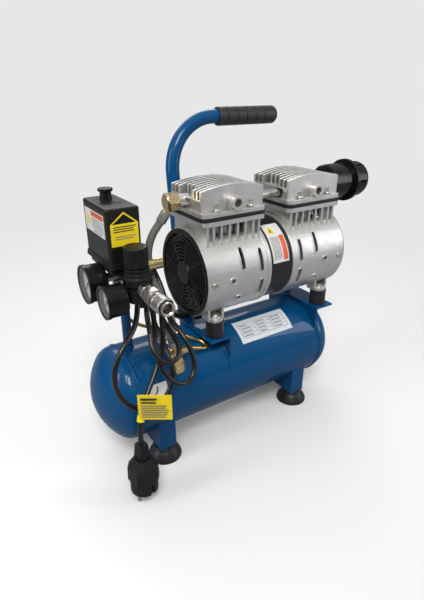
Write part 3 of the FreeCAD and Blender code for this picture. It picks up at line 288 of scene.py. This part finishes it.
def foam():
    s = Surface("filter_foam", (0.17, 0.165, 0.155), 0.95)
    pores = s.cells(900.0)
    s.tint(s.remap(pores, 0.2, 0.6), (0.05, 0.05, 0.048))
    s.bump(pores, 0.0006, 0.9)
    return s


def card(name, color, fleck):
    s = Surface(name, color, 0.5)
    s.tint(s.remap(s.noise(300.0, 4.0), 0.45, 0.8, 0.0, 0.35), fleck)
    s.vary_roughness(s.remap(s.noise(60.0, 3.0), 0.3, 0.7), 0.15)
    s.bump(s.noise(1500.0, 2.0), 0.00003, 0.4)
    s.set(Coat_Weight=0.25, Coat_Roughness=0.2)
    return s


def clear_lens():
    s = Surface("gauge_lens", (0.92, 0.94, 0.95), 0.04)
    smear = s.remap(s.noise(55.0, 4.0), 0.35, 0.8)
    s.vary_roughness(smear, 0.10)
    s.link(s.remap(smear, 0.0, 1.0, 0.10, 0.16), s.shader.inputs["Alpha"])
    s.set(IOR=1.49, Coat_Weight=1.0, Coat_Roughness=0.03)
    return s


def woven():
    """Outer braid of the delivery hose."""
    s = Surface("hose_braid", (0.165, 0.155, 0.140), 0.55, 0.25)
    s.tint(s.remap(s.noise(500.0, 3.0), 0.35, 0.7, 0.0, 0.7), (0.30, 0.29, 0.27))
    # Painted shade: darker deep between the braid's strands.
    s.tint(s.math("MULTIPLY", s.hollows(0.0012), 0.85), (0.03, 0.03, 0.03))
    s.vary_roughness(s.noise(900.0, 2.0), 0.2)
    s.bump(s.noise(3000.0, 2.0), 0.00005, 0.6)
    return s


PAINT = gloss_paint()
CAST = cast_metal()
NICKEL = machined_metal("nickel_plate", (0.60, 0.575, 0.53), 0.20, (0.3, 1.0, 0.3))
ZINC = machined_metal("zinc_plate", (0.55, 0.55, 0.52), 0.30)
STEEL = machined_metal("ground_steel", (0.50, 0.50, 0.50), 0.22, (0.15, 1.0, 1.0))
BRASS = machined_metal("brass", (0.78, 0.62, 0.34), 0.15, (1.0, 0.4, 0.4))
GOLD_TUBE = machined_metal("drawn_brass_tube", (0.74, 0.50, 0.14), 0.20, (0.1, 0.1, 0.1))
BLACK = moulded("black_plastic", (0.006, 0.0063, 0.007), 0.34)
GLOSS_BLACK = moulded("gloss_black_plastic", (0.004, 0.0045, 0.006), 0.15, 500.0, 0.00002)
SWITCH = moulded("switch_plastic", (0.0085, 0.0082, 0.0075), 0.27, 1200.0, 0.00005, 2.6)
KNOB = moulded("knob_plastic", (0.004, 0.004, 0.0043), 0.33, 1000.0, 0.00005)
RUBBER = rubber("black_rubber", (0.007, 0.0075, 0.009), 0.38)
SHEATH = rubber("cable_sheath", (0.004, 0.004, 0.0045), 0.20, 350.0)
GRIP = rubber("grip_rubber", (0.014, 0.0165, 0.018), 0.40, 380.0)
SEAL = rubber("gasket_rubber", (0.005, 0.0055, 0.0065), 0.45)
LAMINATED = laminated()
COPPER = wound_copper()
FOAM = foam()
DIAL = card("dial_card", (0.70, 0.69, 0.66), (0.62, 0.61, 0.57))
YELLOW = card("yellow_card", (0.86, 0.66, 0.004), (0.80, 0.58, 0.004))
WHITE = card("white_label", (0.74, 0.74, 0.73), (0.66, 0.66, 0.65))
SILVER = card("silver_label", (0.68, 0.71, 0.75), (0.58, 0.61, 0.65))
ORANGE = card("orange_print", (0.72, 0.10, 0.02), (0.60, 0.09, 0.02))
INK = card("black_print", (0.018, 0.018, 0.018), (0.04, 0.04, 0.04))
GREY_INK = card("grey_print", (0.16, 0.16, 0.16), (0.24, 0.24, 0.24))
RED_PAINT = card("red_paint", (0.55, 0.02, 0.015), (0.45, 0.02, 0.015))
LENS = clear_lens()
BRAID = woven()

FINISHES = {
    "tank_shell": PAINT, "tank_ends": PAINT, "foot_brackets": PAINT, "motor_brackets": PAINT,
    "handle_tube": PAINT, "riser_pipe": PAINT,
    "suction_feet": RUBBER, "rubber_mounts": RUBBER, "handle_grip": GRIP, "head_seals": SEAL,
    "motor_cable": SHEATH, "mains_cord": SHEATH,
    "crankcase_left": CAST, "crankcase_right": CAST, "cylinder_blocks": CAST,
    "cylinder_heads": CAST, "pistons": STEEL, "connecting_rods": CAST,
    "cylinder_sleeves": STEEL, "valve_plates": STEEL, "motor_shaft": STEEL,
    "shaft_bearings": STEEL, "mount_bolts": ZINC, "machine_screws": ZINC,
    "hose_ferrules": ZINC, "cross_tube": ZINC,
    "stator_core": LAMINATED, "rotor_core": LAMINATED, "stator_windings": COPPER,
    "cooling_fans": BLACK, "fan_grilles": KNOB, "cable_glands": BLACK, "mains_plug": BLACK,
    "tank_gauge_case": GLOSS_BLACK, "regulator_gauge_case": GLOSS_BLACK,
    "filter_body": GLOSS_BLACK, "filter_cap": GLOSS_BLACK, "filter_element": FOAM,
    "switch_base": SWITCH, "switch_cover": SWITCH, "switch_knob": KNOB,
    "regulator_body": KNOB, "regulator_knob": KNOB,
    "outlet_elbow": BRASS, "check_valve": BRASS, "safety_valve": BRASS,
    "drain_valve": BRASS, "drain_screw": BRASS, "adjusting_screw": BRASS,
    "unloader_tube": GOLD_TUBE, "manifold": NICKEL,
    "coupler_body": NICKEL, "coupler_sleeve": NICKEL, "plug_pins": NICKEL,
    "delivery_hose": BRAID, "gauge_dials": DIAL, "gauge_lenses": LENS,
    "tank_gauge_needle": INK, "regulator_gauge_needle": INK, "cord_tag": YELLOW,
}
for name, surface in FINISHES.items():
    mesh = nodes[name].data
    mesh.materials.clear()
    mesh.materials.append(surface.material)


# ---- mesh tools -----------------------------------------------------------------------
def piece(name, vertices, faces, surface, body, smooth=True):
    """A new mesh piece riding on a body."""
    mesh = bpy.data.meshes.new(name)
    mesh.from_pydata([tuple(v) for v in vertices], [], faces)
    mesh.materials.append(surface.material)
    mesh.update()
    made = bpy.data.objects.new(name, mesh)
    bpy.context.scene.collection.objects.link(made)
    if smooth:
        mesh.shade_smooth()
    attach(made, body)
    return made


def cross_axes(axis):
    side = Z if abs(axis.z) < 0.9 else X
    u = (side - axis * side.dot(axis)).normalized()
    return u, axis.cross(u)


def grid_faces(rows, columns, closed_rows=False):
    """Quads of a grid of vertices, closed round its columns and, if asked, its rows."""
    faces = []
    for i in range(rows if closed_rows else rows - 1):
        for j in range(columns):
            a = i * columns + j
            b = i * columns + (j + 1) % columns
            up = ((i + 1) % rows) * columns
            faces.append((a, b, up + (j + 1) % columns, up + j))
    return faces


def lathe(name, profile, origin, axis, surface, body, around=96, relief=None):
    """Turn a closed outline of (distance, radius), in mm, about an axis; relief adds to r."""
    u, w = cross_axes(axis)
    vertices = []
    for along, radius in profile:
        for j in range(around):
            angle = 2 * math.pi * j / around
            r = radius + (relief(along, radius, angle) if relief else 0.0)
            out = u * math.cos(angle) + w * math.sin(angle)
            vertices.append(origin + (axis * along + out * r) * MM)
    faces = grid_faces(len(profile), around, True)
    return piece(name, vertices, faces, surface, body)


def route_curve(name, points):
    data = bpy.data.curves.new(name, "CURVE")
    data.dimensions = "3D"
    data.resolution_u = 10
    spline = data.splines.new("NURBS")
    spline.points.add(len(points) - 1)
    for point, at in zip(spline.points, points):
        point.co = (*at, 1.0)
    spline.order_u = 3
    spline.use_endpoint_u = True
    return bpy.data.objects.new(name, data)


def smooth_route(points):
    """The line that a NURBS curve of order 3 draws through a route's control points."""
    curve = route_curve("route", points)
    mesh = bpy.data.meshes.new_from_object(curve)
    line = [v.co.copy() for v in mesh.vertices]
    bpy.data.objects.remove(curve)
    bpy.data.meshes.remove(mesh)
    return line


def evened(line, step):
    """The same line with points a fixed step apart."""
    out = [line[0]]
    need = step
    for a, b in zip(line, line[1:]):
        span = (b - a).length
        done = 0.0
        while span - done >= need:
            done += need
            out.append(a.lerp(b, done / span))
            need = step
        need -= span - done
    return out


def tube(name, line, radius, surface, body, around=24, relief=None, capped=True):
    """A round tube along a line without twist; relief(distance, angle) adds to its radius."""
    vertices = []
    normal = None
    travelled = 0.0
    for k, at in enumerate(line):
        ahead = line[min(k + 1, len(line) - 1)]
        behind = line[max(k - 1, 0)]
        way = (ahead - behind).normalized()
        if normal is None:
            normal = cross_axes(way)[0]
        normal = (normal - way * normal.dot(way)).normalized()
        across = way.cross(normal)
        if k:
            travelled += (at - line[k - 1]).length
        for j in range(around):
            angle = 2 * math.pi * j / around
            r = radius + (relief(travelled, angle) if relief else 0.0)
            vertices.append(at + (normal * math.cos(angle) + across * math.sin(angle)) * r)
    faces = grid_faces(len(line), around)
    if capped:
        last = (len(line) - 1) * around
        faces.append(tuple(reversed(range(around))))
        faces.append(tuple(range(last, last + around)))
    return piece(name, vertices, faces, surface, body)


def weld(name, line, radius, closed=False, seed=0.0):
    """A rippled weld bead under the paint."""
    step = evened(line + line[:1] if closed else line, 0.0009)

    def ripple(distance, angle):
        wave = abs(math.sin(distance * math.pi / 0.0016))
        return radius * (0.20 * wave + 0.25 * noise.noise(Vector((distance * 300, angle, seed))))

    return tube(name, step, radius, PAINT, ROOT, 10, ripple)


# ---- the mains cord -------------------------------------------------------------------
def fold_over(back_x, back_y, front_x, front_y, z):
    """Four route points that carry the hanging cord half a turn over the regulator arm."""
    back = mm(back_x, back_y, z)
    front = mm(front_x, front_y, z)
    centre = (back + front) / 2
    way = (front - back).normalized()
    reach = (front - back).length / 2
    near = reach * math.tan(math.radians(22.5))
    return [centre - way * reach + Z * near, centre - way * near + Z * reach,
            centre + way * near + Z * reach, centre + way * reach + Z * near]


PLUG = (-189, -109)
CORD_EXIT = [mm(-145, -26, 300), mm(-145, -26, 285), mm(-150, -40, 267), mm(-157, -53, 250),
             mm(-168, -67, 238), mm(-185, -79, 229), mm(-200, -86, 216), mm(-208, -89, 196),
             mm(-208, -91, 173), mm(-198, -92, 150), mm(-180, -91, 133), mm(-158, -88, 126),
             mm(-139, -85, 131), mm(-127, -81, 147), mm(-121, -74, 168), mm(-122, -60, 186),
             mm(-122.5, -42, 201), mm(-122.5, -26, 216), mm(-122.5, -21, 233)]
CORD_LOOP_A = [mm(-149, -70, 228), mm(-154, -83, 213), mm(-151, -93, 200),
               mm(-140, -98, 192), mm(-123, -95, 193), mm(-115, -84, 203),
               mm(-114, -66, 210), mm(-113, -48, 214), mm(-112, -31, 220),
               mm(-112, -22, 233)]
CORD_LOOP_B = [mm(-141, -67, 221), mm(-146, -76, 205), mm(-146, -86, 188),
               mm(-141, -93, 172), mm(-129, -98, 157), mm(-110, -97, 151),
               mm(-96, -90, 162), mm(-94, -82, 182), mm(-98, -71, 201), mm(-102, -55, 214),
               mm(-103.5, -38, 219), mm(-102.5, -25, 228)]
CORD_TAIL = [mm(-130, -67, 222), mm(-133, -72, 202), mm(-145, -78, 181), mm(-158, -87, 167),
             mm(-172, -96, 154), mm(-183, -104, 139), mm(*PLUG, 119), mm(*PLUG, 95)]
CORD_ROUTE = (CORD_EXIT + fold_over(-122.5, -22, -148.5, -61, 240) + CORD_LOOP_A
              + fold_over(-112.5, -22, -139, -61, 239) + CORD_LOOP_B
              + fold_over(-102.5, -25, -129.5, -65, 234) + CORD_TAIL)

cord = route_curve("mains_lead", CORD_ROUTE)
bpy.context.scene.collection.objects.link(cord)
cord.data.bevel_depth = 0.0035
cord.data.bevel_resolution = 6
cord.data.use_fill_caps = True
cord.data.materials.append(SHEATH.material)
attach(cord, ROOT)
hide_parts("mains_cord")


def cord_boot():
    """Ribbed, tapered strain relief over the first stretch of the cord."""
    step = 0.5 * MM
    line = evened(smooth_route(CORD_ROUTE), step)[14:52]
    length = step * (len(line) - 1)

    def ribs(distance, angle):
        fall = 0.0013 * (1 - distance / length)
        return fall + (0.0004 if math.sin(distance * 2 * math.pi / 0.0036) > 0 else 0.0)

    return tube("cord_boot", line, 0.0037, BLACK, ROOT, 32, ribs)


boot = cord_boot()
tuple(CORD_ROUTE[0])


# ---- braided delivery hose ------------------------------------------------------------
HOSE_ROUTE = [mm(-77.5, 11, 354.5), mm(-86, 14, 341), mm(-97, 17, 326), mm(-103.5, 18, 309),
              mm(-106, 18, 291), mm(-105.5, 16, 275), mm(-103, 11, 260), mm(-99, 3, 246),
              mm(-95.5, -11, 231), mm(-96, -27, 215.5), mm(-101.5, -40, 207.5)]
VALVE_UP = Vector((-0.17, 0.0, 0.985)).normalized()
VALVE_BASE = mm(-102, -50, 149.6)
VALVE_TIP = VALVE_BASE + VALVE_UP * 0.035
HOSE_ROUTE += [VALVE_TIP + VALVE_UP * 0.015, VALVE_TIP]
HOSE_R = 0.00535
BRAID_PITCH = 0.0042
BRAID_STRANDS = 16


def braid(distance, angle):
    """Two families of flat strands that pass over and under each other."""
    along = distance / BRAID_PITCH
    a = math.sin(math.pi * (along + BRAID_STRANDS * angle / (2 * math.pi)))
    b = math.sin(math.pi * (along - BRAID_STRANDS * angle / (2 * math.pi)))
    over = 1.0 if math.sin(math.pi * along * 2) > 0 else 0.6
    return 0.00026 * max(abs(a) * over, abs(b) * (1.6 - over)) - 0.00008


hose = tube("delivery_hose_braid", evened(smooth_route(HOSE_ROUTE), 0.0007), HOSE_R, BRAID,
            ROOT, 96, braid)
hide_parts("delivery_hose")


# ---- turned parts of the coupler ------------------------------------------------------
COUPLER_X = -158
COUPLER_Z = 292
SLEEVE_BACK_Y = -115.1
SLEEVE_LENGTH = 21.9
SLEEVE_BORE_R = 8.5
NOSE_SEAL_Y = -137.3


def knurled_sleeve():
    """The coupler's sliding sleeve, with a diamond knurl between two plain collars."""
    length = SLEEVE_LENGTH
    steps = 74
    outline = [(0.0, SLEEVE_BORE_R)]
    for k in range(steps + 1):
        along = length * k / steps
        radius = 10.6
        if along < 0.9 or along > length - 0.9:
            radius = 10.0
        if 5.6 < along < 7.2:
            radius = 9.9
        outline.append((along, radius))
    outline.append((length, SLEEVE_BORE_R))

    def diamonds(along, radius, angle):
        if radius < 10.5 or along < 7.6 or along > length - 2.2:
            return 0.0
        left = math.sin(angle * 20 + along * 2.1)
        right = math.sin(angle * 20 - along * 2.1)
        return 0.3 * max(0.0, left * right)

    made = lathe("knurled_sleeve", outline, mm(COUPLER_X, SLEEVE_BACK_Y, COUPLER_Z), -Y, NICKEL,
                 "coupler_sleeve", 160, diamonds)
    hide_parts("coupler_sleeve")


knurled_sleeve()
lathe("nose_seal", [(0.0, 8.3), (0.0, 9.7), (0.5, 9.9), (1.0, 9.7), (1.2, 8.3)],
      mm(COUPLER_X, NOSE_SEAL_Y, COUPLER_Z), -Y, RUBBER, ROOT)


# ---- weld beads -----------------------------------------------------------------------
TANK_R = 70.0
TANK_Z = 101.5
SEAM_X = 165.5                    # the ring welds, just past the ends of the shell
BRACKET_X = (-19.2, 161.8)        # the welds along the motor brackets
FOOT_X = (-141.5, 114.5)          # left edges of the foot brackets
FOOT_WELD_Y = 62.4
FOOT_WELD_Z = 69.4


def on_tank(x, degrees, lift=0.0):
    """A point on the tank; 0 degrees faces the front and 90 is the top."""
    angle = math.radians(degrees)
    r = TANK_R + lift
    return mm(x, -r * math.cos(angle), TANK_Z + r * math.sin(angle))


def weld_beads():
    for side in (-1, 1):
        seam = [on_tank(side * SEAM_X, 3 * k, 0.1) for k in range(120)]
        weld("seam_weld", seam, 0.0012, True, side)
    for x, tilt in zip(BRACKET_X, (1.0, 2.0)):
        for low, high in ((17, 84), (96, 163)):
            line = [on_tank(x, low + (high - low) * k / 40, 0.2) for k in range(41)]
            weld("bracket_weld", line, 0.0013, False, tilt + low)
    for x in FOOT_X:
        for y in (-FOOT_WELD_Y, FOOT_WELD_Y):
            line = [mm(x + 0.5 + k, y, FOOT_WELD_Z) for k in range(27)]
            weld("foot_weld", line, 0.0012, False, x + y)


weld_beads()


# ---- printed labels, with plain bars in place of any wording --------------------------
# Heights above the part, in mm: of a label, or of print laid straight on the part; of print on
# a label; and of a mark on top of that print.
LABEL_LIFT = 0.12
OVERPRINT_LIFT = 0.2
MARK_LIFT = 0.26
SHEET_THICKNESS = 0.1


def patch(name, corners, place, surface, lift=LABEL_LIFT, steps=(2, 2)):
    """A thin four-cornered sheet laid on a surface; place(a, b, lift) gives its points."""
    across, up = steps
    vertices = []
    for height in (lift, lift - SHEET_THICKNESS):
        for j in range(up + 1):
            for i in range(across + 1):
                s = i / across
                t = j / up
                a = [(1 - s) * (1 - t) * corners[0][k] + s * (1 - t) * corners[1][k]
                     + s * t * corners[2][k] + (1 - s) * t * corners[3][k] for k in (0, 1)]
                vertices.append(place(a[0], a[1], height))
    row = across + 1
    count = row * (up + 1)
    faces = []
    for j in range(up):
        for i in range(across):
            at = j * row + i
            faces.append((at, at + 1, at + row + 1, at + row))
            faces.append(tuple(count + k for k in (at, at + row, at + row + 1, at + 1)))
    edge = ([i for i in range(row)] + [j * row + across for j in range(1, up + 1)]
            + [up * row + i for i in range(across - 1, -1, -1)]
            + [j * row for j in range(up - 1, 0, -1)])
    for a, b in zip(edge, edge[1:] + edge[:1]):
        faces.append((b, a, count + a, count + b))
    return piece(name, vertices, faces, surface, ROOT, smooth=False)


def box(a0, a1, b0, b1):
    return [(a0, b0), (a1, b0), (a1, b1), (a0, b1)]


def bars(name, place, surface, a0, a1, levels, thick, steps=(2, 1), ragged=0.12):
    """Plain printed lines of uneven length that stand in for small print."""
    for k, b in enumerate(levels):
        short = (a1 - a0) * ragged * ((k * 7) % 4) / 3
        patch(name, box(a0, a1 - short, b, b + thick), place, surface, OVERPRINT_LIFT,
              steps=steps)


SWITCH_FRONT_Y = -40.5
SWITCH_LEFT_X = -181.5


def switch_front(x, z, lift):
    return mm(x, SWITCH_FRONT_Y - lift, z)


def switch_left(y, z, lift):
    return mm(SWITCH_LEFT_X - lift, y, z)


def switch_labels():
    left, right, low, eave, apex = -177.4, -142.2, 336.5, 363.5, 377.5
    centre = (left + right) / 2
    patch("switch_notice", box(left, right, low, eave), switch_front, YELLOW)
    for foot, sign in ((left, 1), (right, -1)):
        patch("switch_notice_roof", [(foot, eave), (foot + sign * 2.6, eave), (centre, apex - 2.4),
                                     (centre, apex)], switch_front, YELLOW)
    bars("switch_notice_bars", switch_front, INK, left + 3.5, right - 3.0,
         (359.2, 356.4, 353.6), 1.3)
    bars("switch_notice_small_bars", switch_front, GREY_INK, left + 5.0, right - 3.0,
         (347.5, 344.8), 1.0)
    patch("switch_plate", box(33.5, -32.0, 344.5, 373.0), switch_left, WHITE)
    patch("switch_plate_header", box(11.0, -30.5, 365.6, 371.6), switch_left, ORANGE,
          OVERPRINT_LIFT)
    patch("switch_plate_triangle", [(29.0, 354.0), (16.0, 354.0), (22.4, 368.0), (22.6, 368.0)],
          switch_left, YELLOW, OVERPRINT_LIFT)
    bars("switch_plate_bars", switch_left, GREY_INK, 11.0, -30.5,
         (362.0, 359.4, 356.8, 354.2, 351.6), 0.9)
    bars("switch_plate_footer", switch_left, GREY_INK, 6.0, -26.0, (348.6, 346.4), 0.8)


switch_labels()

STATOR_R = (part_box("stator_core")[1][2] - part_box("stator_core")[0][2]) / 2 / MM
MOTOR_Z = middle("stator_core").z / MM


def on_stator(x, degrees, lift):
    angle = math.radians(degrees)
    r = STATOR_R + lift
    return mm(x, -r * math.cos(angle), MOTOR_Z + r * math.sin(angle))


def motor_label():
    patch("motor_label", box(56.5, 86.5, 9, 66), on_stator, WHITE, steps=(2, 24))
    patch("motor_label_triangle", [(59.5, 49.5), (74.0, 49.5), (66.9, 61.5), (66.7, 61.5)],
          on_stator, YELLOW, OVERPRINT_LIFT, steps=(2, 8))
    patch("motor_label_mark", [(65.2, 51.2), (68.4, 51.2), (67.2, 57.5), (66.4, 57.5)],
          on_stator, INK, MARK_LIFT, steps=(1, 4))
    patch("motor_label_header", box(76.5, 85.0, 11.5, 45.5), on_stator, ORANGE, OVERPRINT_LIFT,
          steps=(2, 16))
    for k in range(8):
        x = 59.5 + 2.0 * k
        patch("motor_label_bar", box(x, x + 0.9, 12 + (k * 5) % 4, 44.5), on_stator, GREY_INK,
              OVERPRINT_LIFT, steps=(1, 14))


def rating_plate():
    """The silver plate on the tank, with ruled lines and empty boxes."""
    patch("rating_plate", box(14, 115.5, 42, 75), on_tank, SILVER, steps=(2, 20))
    for k in range(5):
        level = 48 + 5.2 * k
        patch("rating_plate_rule", box(19, 110, level, level + 0.5), on_tank, GREY_INK,
              OVERPRINT_LIFT, steps=(2, 1))
    for x in (19, 49.6, 79.8, 109.6):
        patch("rating_plate_rule", box(x, x + 0.5, 48, 69.3), on_tank, GREY_INK,
              OVERPRINT_LIFT, steps=(1, 10))
    for x in (22, 53, 83):
        for level in (50.2, 55.4, 60.6, 65.6):
            patch("rating_plate_bar", box(x, x + 15 + (x + 3 * int(level)) % 7, level, level + 1.4),
                  on_tank, GREY_INK, OVERPRINT_LIFT, steps=(2, 1))


def small_notice():
    patch("small_notice", box(-153, -125, 15.5, 32), on_tank, WHITE, steps=(2, 10))
    mark = [on_tank(-147 + 7 * math.sin(0.25 * k), 18.5 + 1.35 * k, 0.35) for k in range(9)]
    tube("small_notice_mark", mark, 0.0009, INK, ROOT, 8)


motor_label()
rating_plate()
small_notice()


TAG_TURN = 33                     # degrees that the tag is turned about Z
TAG_HEADINGS = 2                  # its first rows are headings, darker and shorter
TAG_ROWS = ((3.0, 4.0), (2.2, 9.4), (1.3, 14.4), (1.3, 17.8), (1.3, 21.2), (1.3, 24.6),
            (1.3, 28.0), (1.3, 31.4))


def tag_print():
    """Bars on the tag's outer face; a row is its height and its distance from the top."""
    turn = math.radians(TAG_TURN)
    wide = Vector((math.cos(turn), -math.sin(turn), 0))
    out = Vector((-math.sin(turn), -math.cos(turn), 0))
    leaf = nodes["cord_tag"]
    points = [leaf.matrix_world @ v.co for v in leaf.data.vertices]
    face = max(p.dot(out) for p in points)
    right = max(p.dot(wide) for p in points)
    top = max(p.z for p in points)

    def place(a, b, lift):
        return wide * (right - a * MM) + out * (face + lift * MM) + Z * (top - b * MM)

    for k, (size, gap) in enumerate(TAG_ROWS):
        heading = k < TAG_HEADINGS
        start = 4.0 + (k * 5) % 4 * 1.4 + (14 if heading else 0)
        patch("tag_bar", box(start, 38.5, gap, gap + size), place,
              INK if heading else GREY_INK)


tag_print()


# ---- gauge faces ----------------------------------------------------------------------
DIAL_NUMBERS = (0, 2, 4, 6, 8, 10)
DIAL_DEPTH = 6.6                  # from the gauge's front to its dial, in mm
TICKS_PER_NUMBER = 5
SCALE_START = 225                 # degrees; the scale runs clockwise as seen from the front
SCALE_SWEEP = 270
ARC_STEP = 6
LAST_BLACK_ARC = 34               # the arc steps past this one are red
SCALE_IN = 0.88                   # of the dial's radius
SCALE_OUT = 0.91


def gauge_face(name, centre, radius):
    """Scale and numbers on a dial that faces the left."""
    def place(y, z, lift):
        return Vector((centre.x - lift * MM, centre.y + y * MM, centre.z + z * MM))

    def ray(degrees, r):
        angle = math.radians(degrees)
        return (-r * math.sin(angle), r * math.cos(angle))

    def wedge(degrees, inner, outer, half_width):
        a = ray(degrees, inner)
        b = ray(degrees, outer)
        side = ray(degrees + 90, half_width)
        return [(a[0] - side[0], a[1] - side[1]), (a[0] + side[0], a[1] + side[1]),
                (b[0] + side[0], b[1] + side[1]), (b[0] - side[0], b[1] - side[1])]

    count = (len(DIAL_NUMBERS) - 1) * TICKS_PER_NUMBER
    for k in range(count + 1):
        degrees = SCALE_START + SCALE_SWEEP * k / count
        major = k % TICKS_PER_NUMBER == 0
        inner = radius * (0.74 if major else 0.81)
        patch(name + "_tick", wedge(degrees, inner, radius * SCALE_IN, 0.35 if major else 0.16),
              place, INK)
    for k in range(SCALE_SWEEP // ARC_STEP):
        degrees = SCALE_START + ARC_STEP * k
        surface = RED_PAINT if k > LAST_BLACK_ARC else INK
        ahead = degrees + ARC_STEP
        patch(name + "_scale", [ray(degrees, radius * SCALE_IN), ray(ahead, radius * SCALE_IN),
                                ray(ahead, radius * SCALE_OUT), ray(degrees, radius * SCALE_OUT)],
              place, surface)
    for k, number in enumerate(DIAL_NUMBERS):
        data = bpy.data.curves.new(name + "_number", "FONT")
        data.body = str(number)
        data.size = radius * 0.24 * MM
        data.align_x = "CENTER"
        data.align_y = "CENTER"
        data.extrude = 0.00004
        at = ray(SCALE_START + SCALE_SWEEP * k / (len(DIAL_NUMBERS) - 1), radius * 0.58)
        text = bpy.data.objects.new(name + "_number", data)
        mesh = bpy.data.meshes.new_from_object(text)
        corners = [place(at[0] - v.co.x / MM, at[1] + v.co.y / MM, 0.08 + v.co.z / MM)
                   for v in mesh.vertices]
        faces = [tuple(p.vertices) for p in mesh.polygons]
        bpy.data.objects.remove(text)
        bpy.data.meshes.remove(mesh)
        piece(name + "_number", corners, faces, INK, ROOT, smooth=False)


gauge_face("tank_dial", mm(-205 + DIAL_DEPTH, -3, 282), 22.4)
gauge_face("regulator_dial", mm(-203 + DIAL_DEPTH, -64, 280), 17.7)


# ---- floor, light and world -----------------------------------------------------------
BACKDROP = (0.80, 0.80, 0.80, 1.0)


def build_floor():
    """A pale floor that turns, for camera rays, into the even backdrop away from the object."""
    size = 9.0
    mesh = bpy.data.meshes.new("floor")
    mesh.from_pydata([(-size, -size, 0), (size, -size, 0), (size, size, 0), (-size, size, 0)],
                     [], [(0, 1, 2, 3)])
    s = Surface("floor", (0.80, 0.80, 0.80), 0.6)
    s.vary_roughness(s.noise(3.0, 3.0), 0.1)
    s.set(Specular_IOR_Level=0.1)
    far = s.node("ShaderNodeVectorMath", operation="LENGTH")
    s.link(s.space, far.inputs[0])
    glow = s.node("ShaderNodeEmission")
    glow.inputs["Color"].default_value = BACKDROP
    mix = s.node("ShaderNodeMixShader")
    seen = s.node("ShaderNodeLightPath").outputs["Is Camera Ray"]
    away = s.remap(far.outputs["Value"], 0.35, 1.3)
    s.link(s.math("MULTIPLY", away, seen), mix.inputs["Fac"])
    s.tint(s.remap(seen, 1.0, 0.0), (0.30, 0.30, 0.31))
    s.link(s.shader.outputs["BSDF"], mix.inputs[1])
    s.link(glow.outputs["Emission"], mix.inputs[2])
    s.link(mix.outputs["Shader"], s.tree.nodes["Material Output"].inputs["Surface"])
    mesh.materials.append(s.material)
    floor = bpy.data.objects.new("floor", mesh)
    bpy.context.scene.collection.objects.link(floor)


def area_light(name, at, target, size, power, color=(1.0, 1.0, 1.0)):
    data = bpy.data.lights.new(name, "AREA")
    data.shape = "RECTANGLE"
    data.size = size[0]
    data.size_y = size[1]
    data.energy = power
    data.color = color
    light = bpy.data.objects.new(name, data)
    light.location = at
    light.rotation_euler = (Vector(target) - Vector(at)).to_track_quat("-Z", "Y").to_euler()
    bpy.context.scene.collection.objects.link(light)


def studio_world():
    """An even backdrop for the camera, and a light that is soft above and dark at the sides."""
    world = bpy.data.worlds.new("studio")
    world.use_nodes = True
    nodes_of = world.node_tree.nodes
    links = world.node_tree.links
    seen = nodes_of["Background"]
    seen.inputs["Color"].default_value = BACKDROP
    sky = nodes_of.new("ShaderNodeBackground")
    place = nodes_of.new("ShaderNodeTexCoord")
    split = nodes_of.new("ShaderNodeSeparateXYZ")
    links.new(place.outputs["Generated"], split.inputs["Vector"])
    rise = nodes_of.new("ShaderNodeMapRange")
    rise.inputs["From Min"].default_value = 0.0
    rise.inputs["From Max"].default_value = 0.9
    rise.inputs["To Min"].default_value = 0.10
    rise.inputs["To Max"].default_value = 0.80
    links.new(split.outputs["Z"], rise.inputs["Value"])
    links.new(rise.outputs["Result"], sky.inputs["Strength"])
    path = nodes_of.new("ShaderNodeLightPath")
    mix = nodes_of.new("ShaderNodeMixShader")
    links.new(path.outputs["Is Camera Ray"], mix.inputs["Fac"])
    links.new(sky.outputs["Background"], mix.inputs[1])
    links.new(seen.outputs["Background"], mix.inputs[2])
    links.new(mix.outputs["Shader"], nodes_of["World Output"].inputs["Surface"])
    bpy.context.scene.world = world


build_floor()
studio_world()
AIM = (0.0, 0.0, 0.2)
area_light("key", (-0.75, -1.2, 1.9), AIM, (0.8, 0.8), 32.0, (1.0, 0.985, 0.96))
area_light("side", (-1.9, 0.1, 1.0), AIM, (0.5, 1.3), 12.0)
area_light("fill", (1.6, -1.3, 0.9), AIM, (0.5, 1.4), 9.0, (0.95, 0.97, 1.0))
area_light("rim", (0.5, 1.6, 1.5), AIM, (1.6, 0.7), 14.0)
bpy.context.scene.view_settings.view_transform = "Standard"
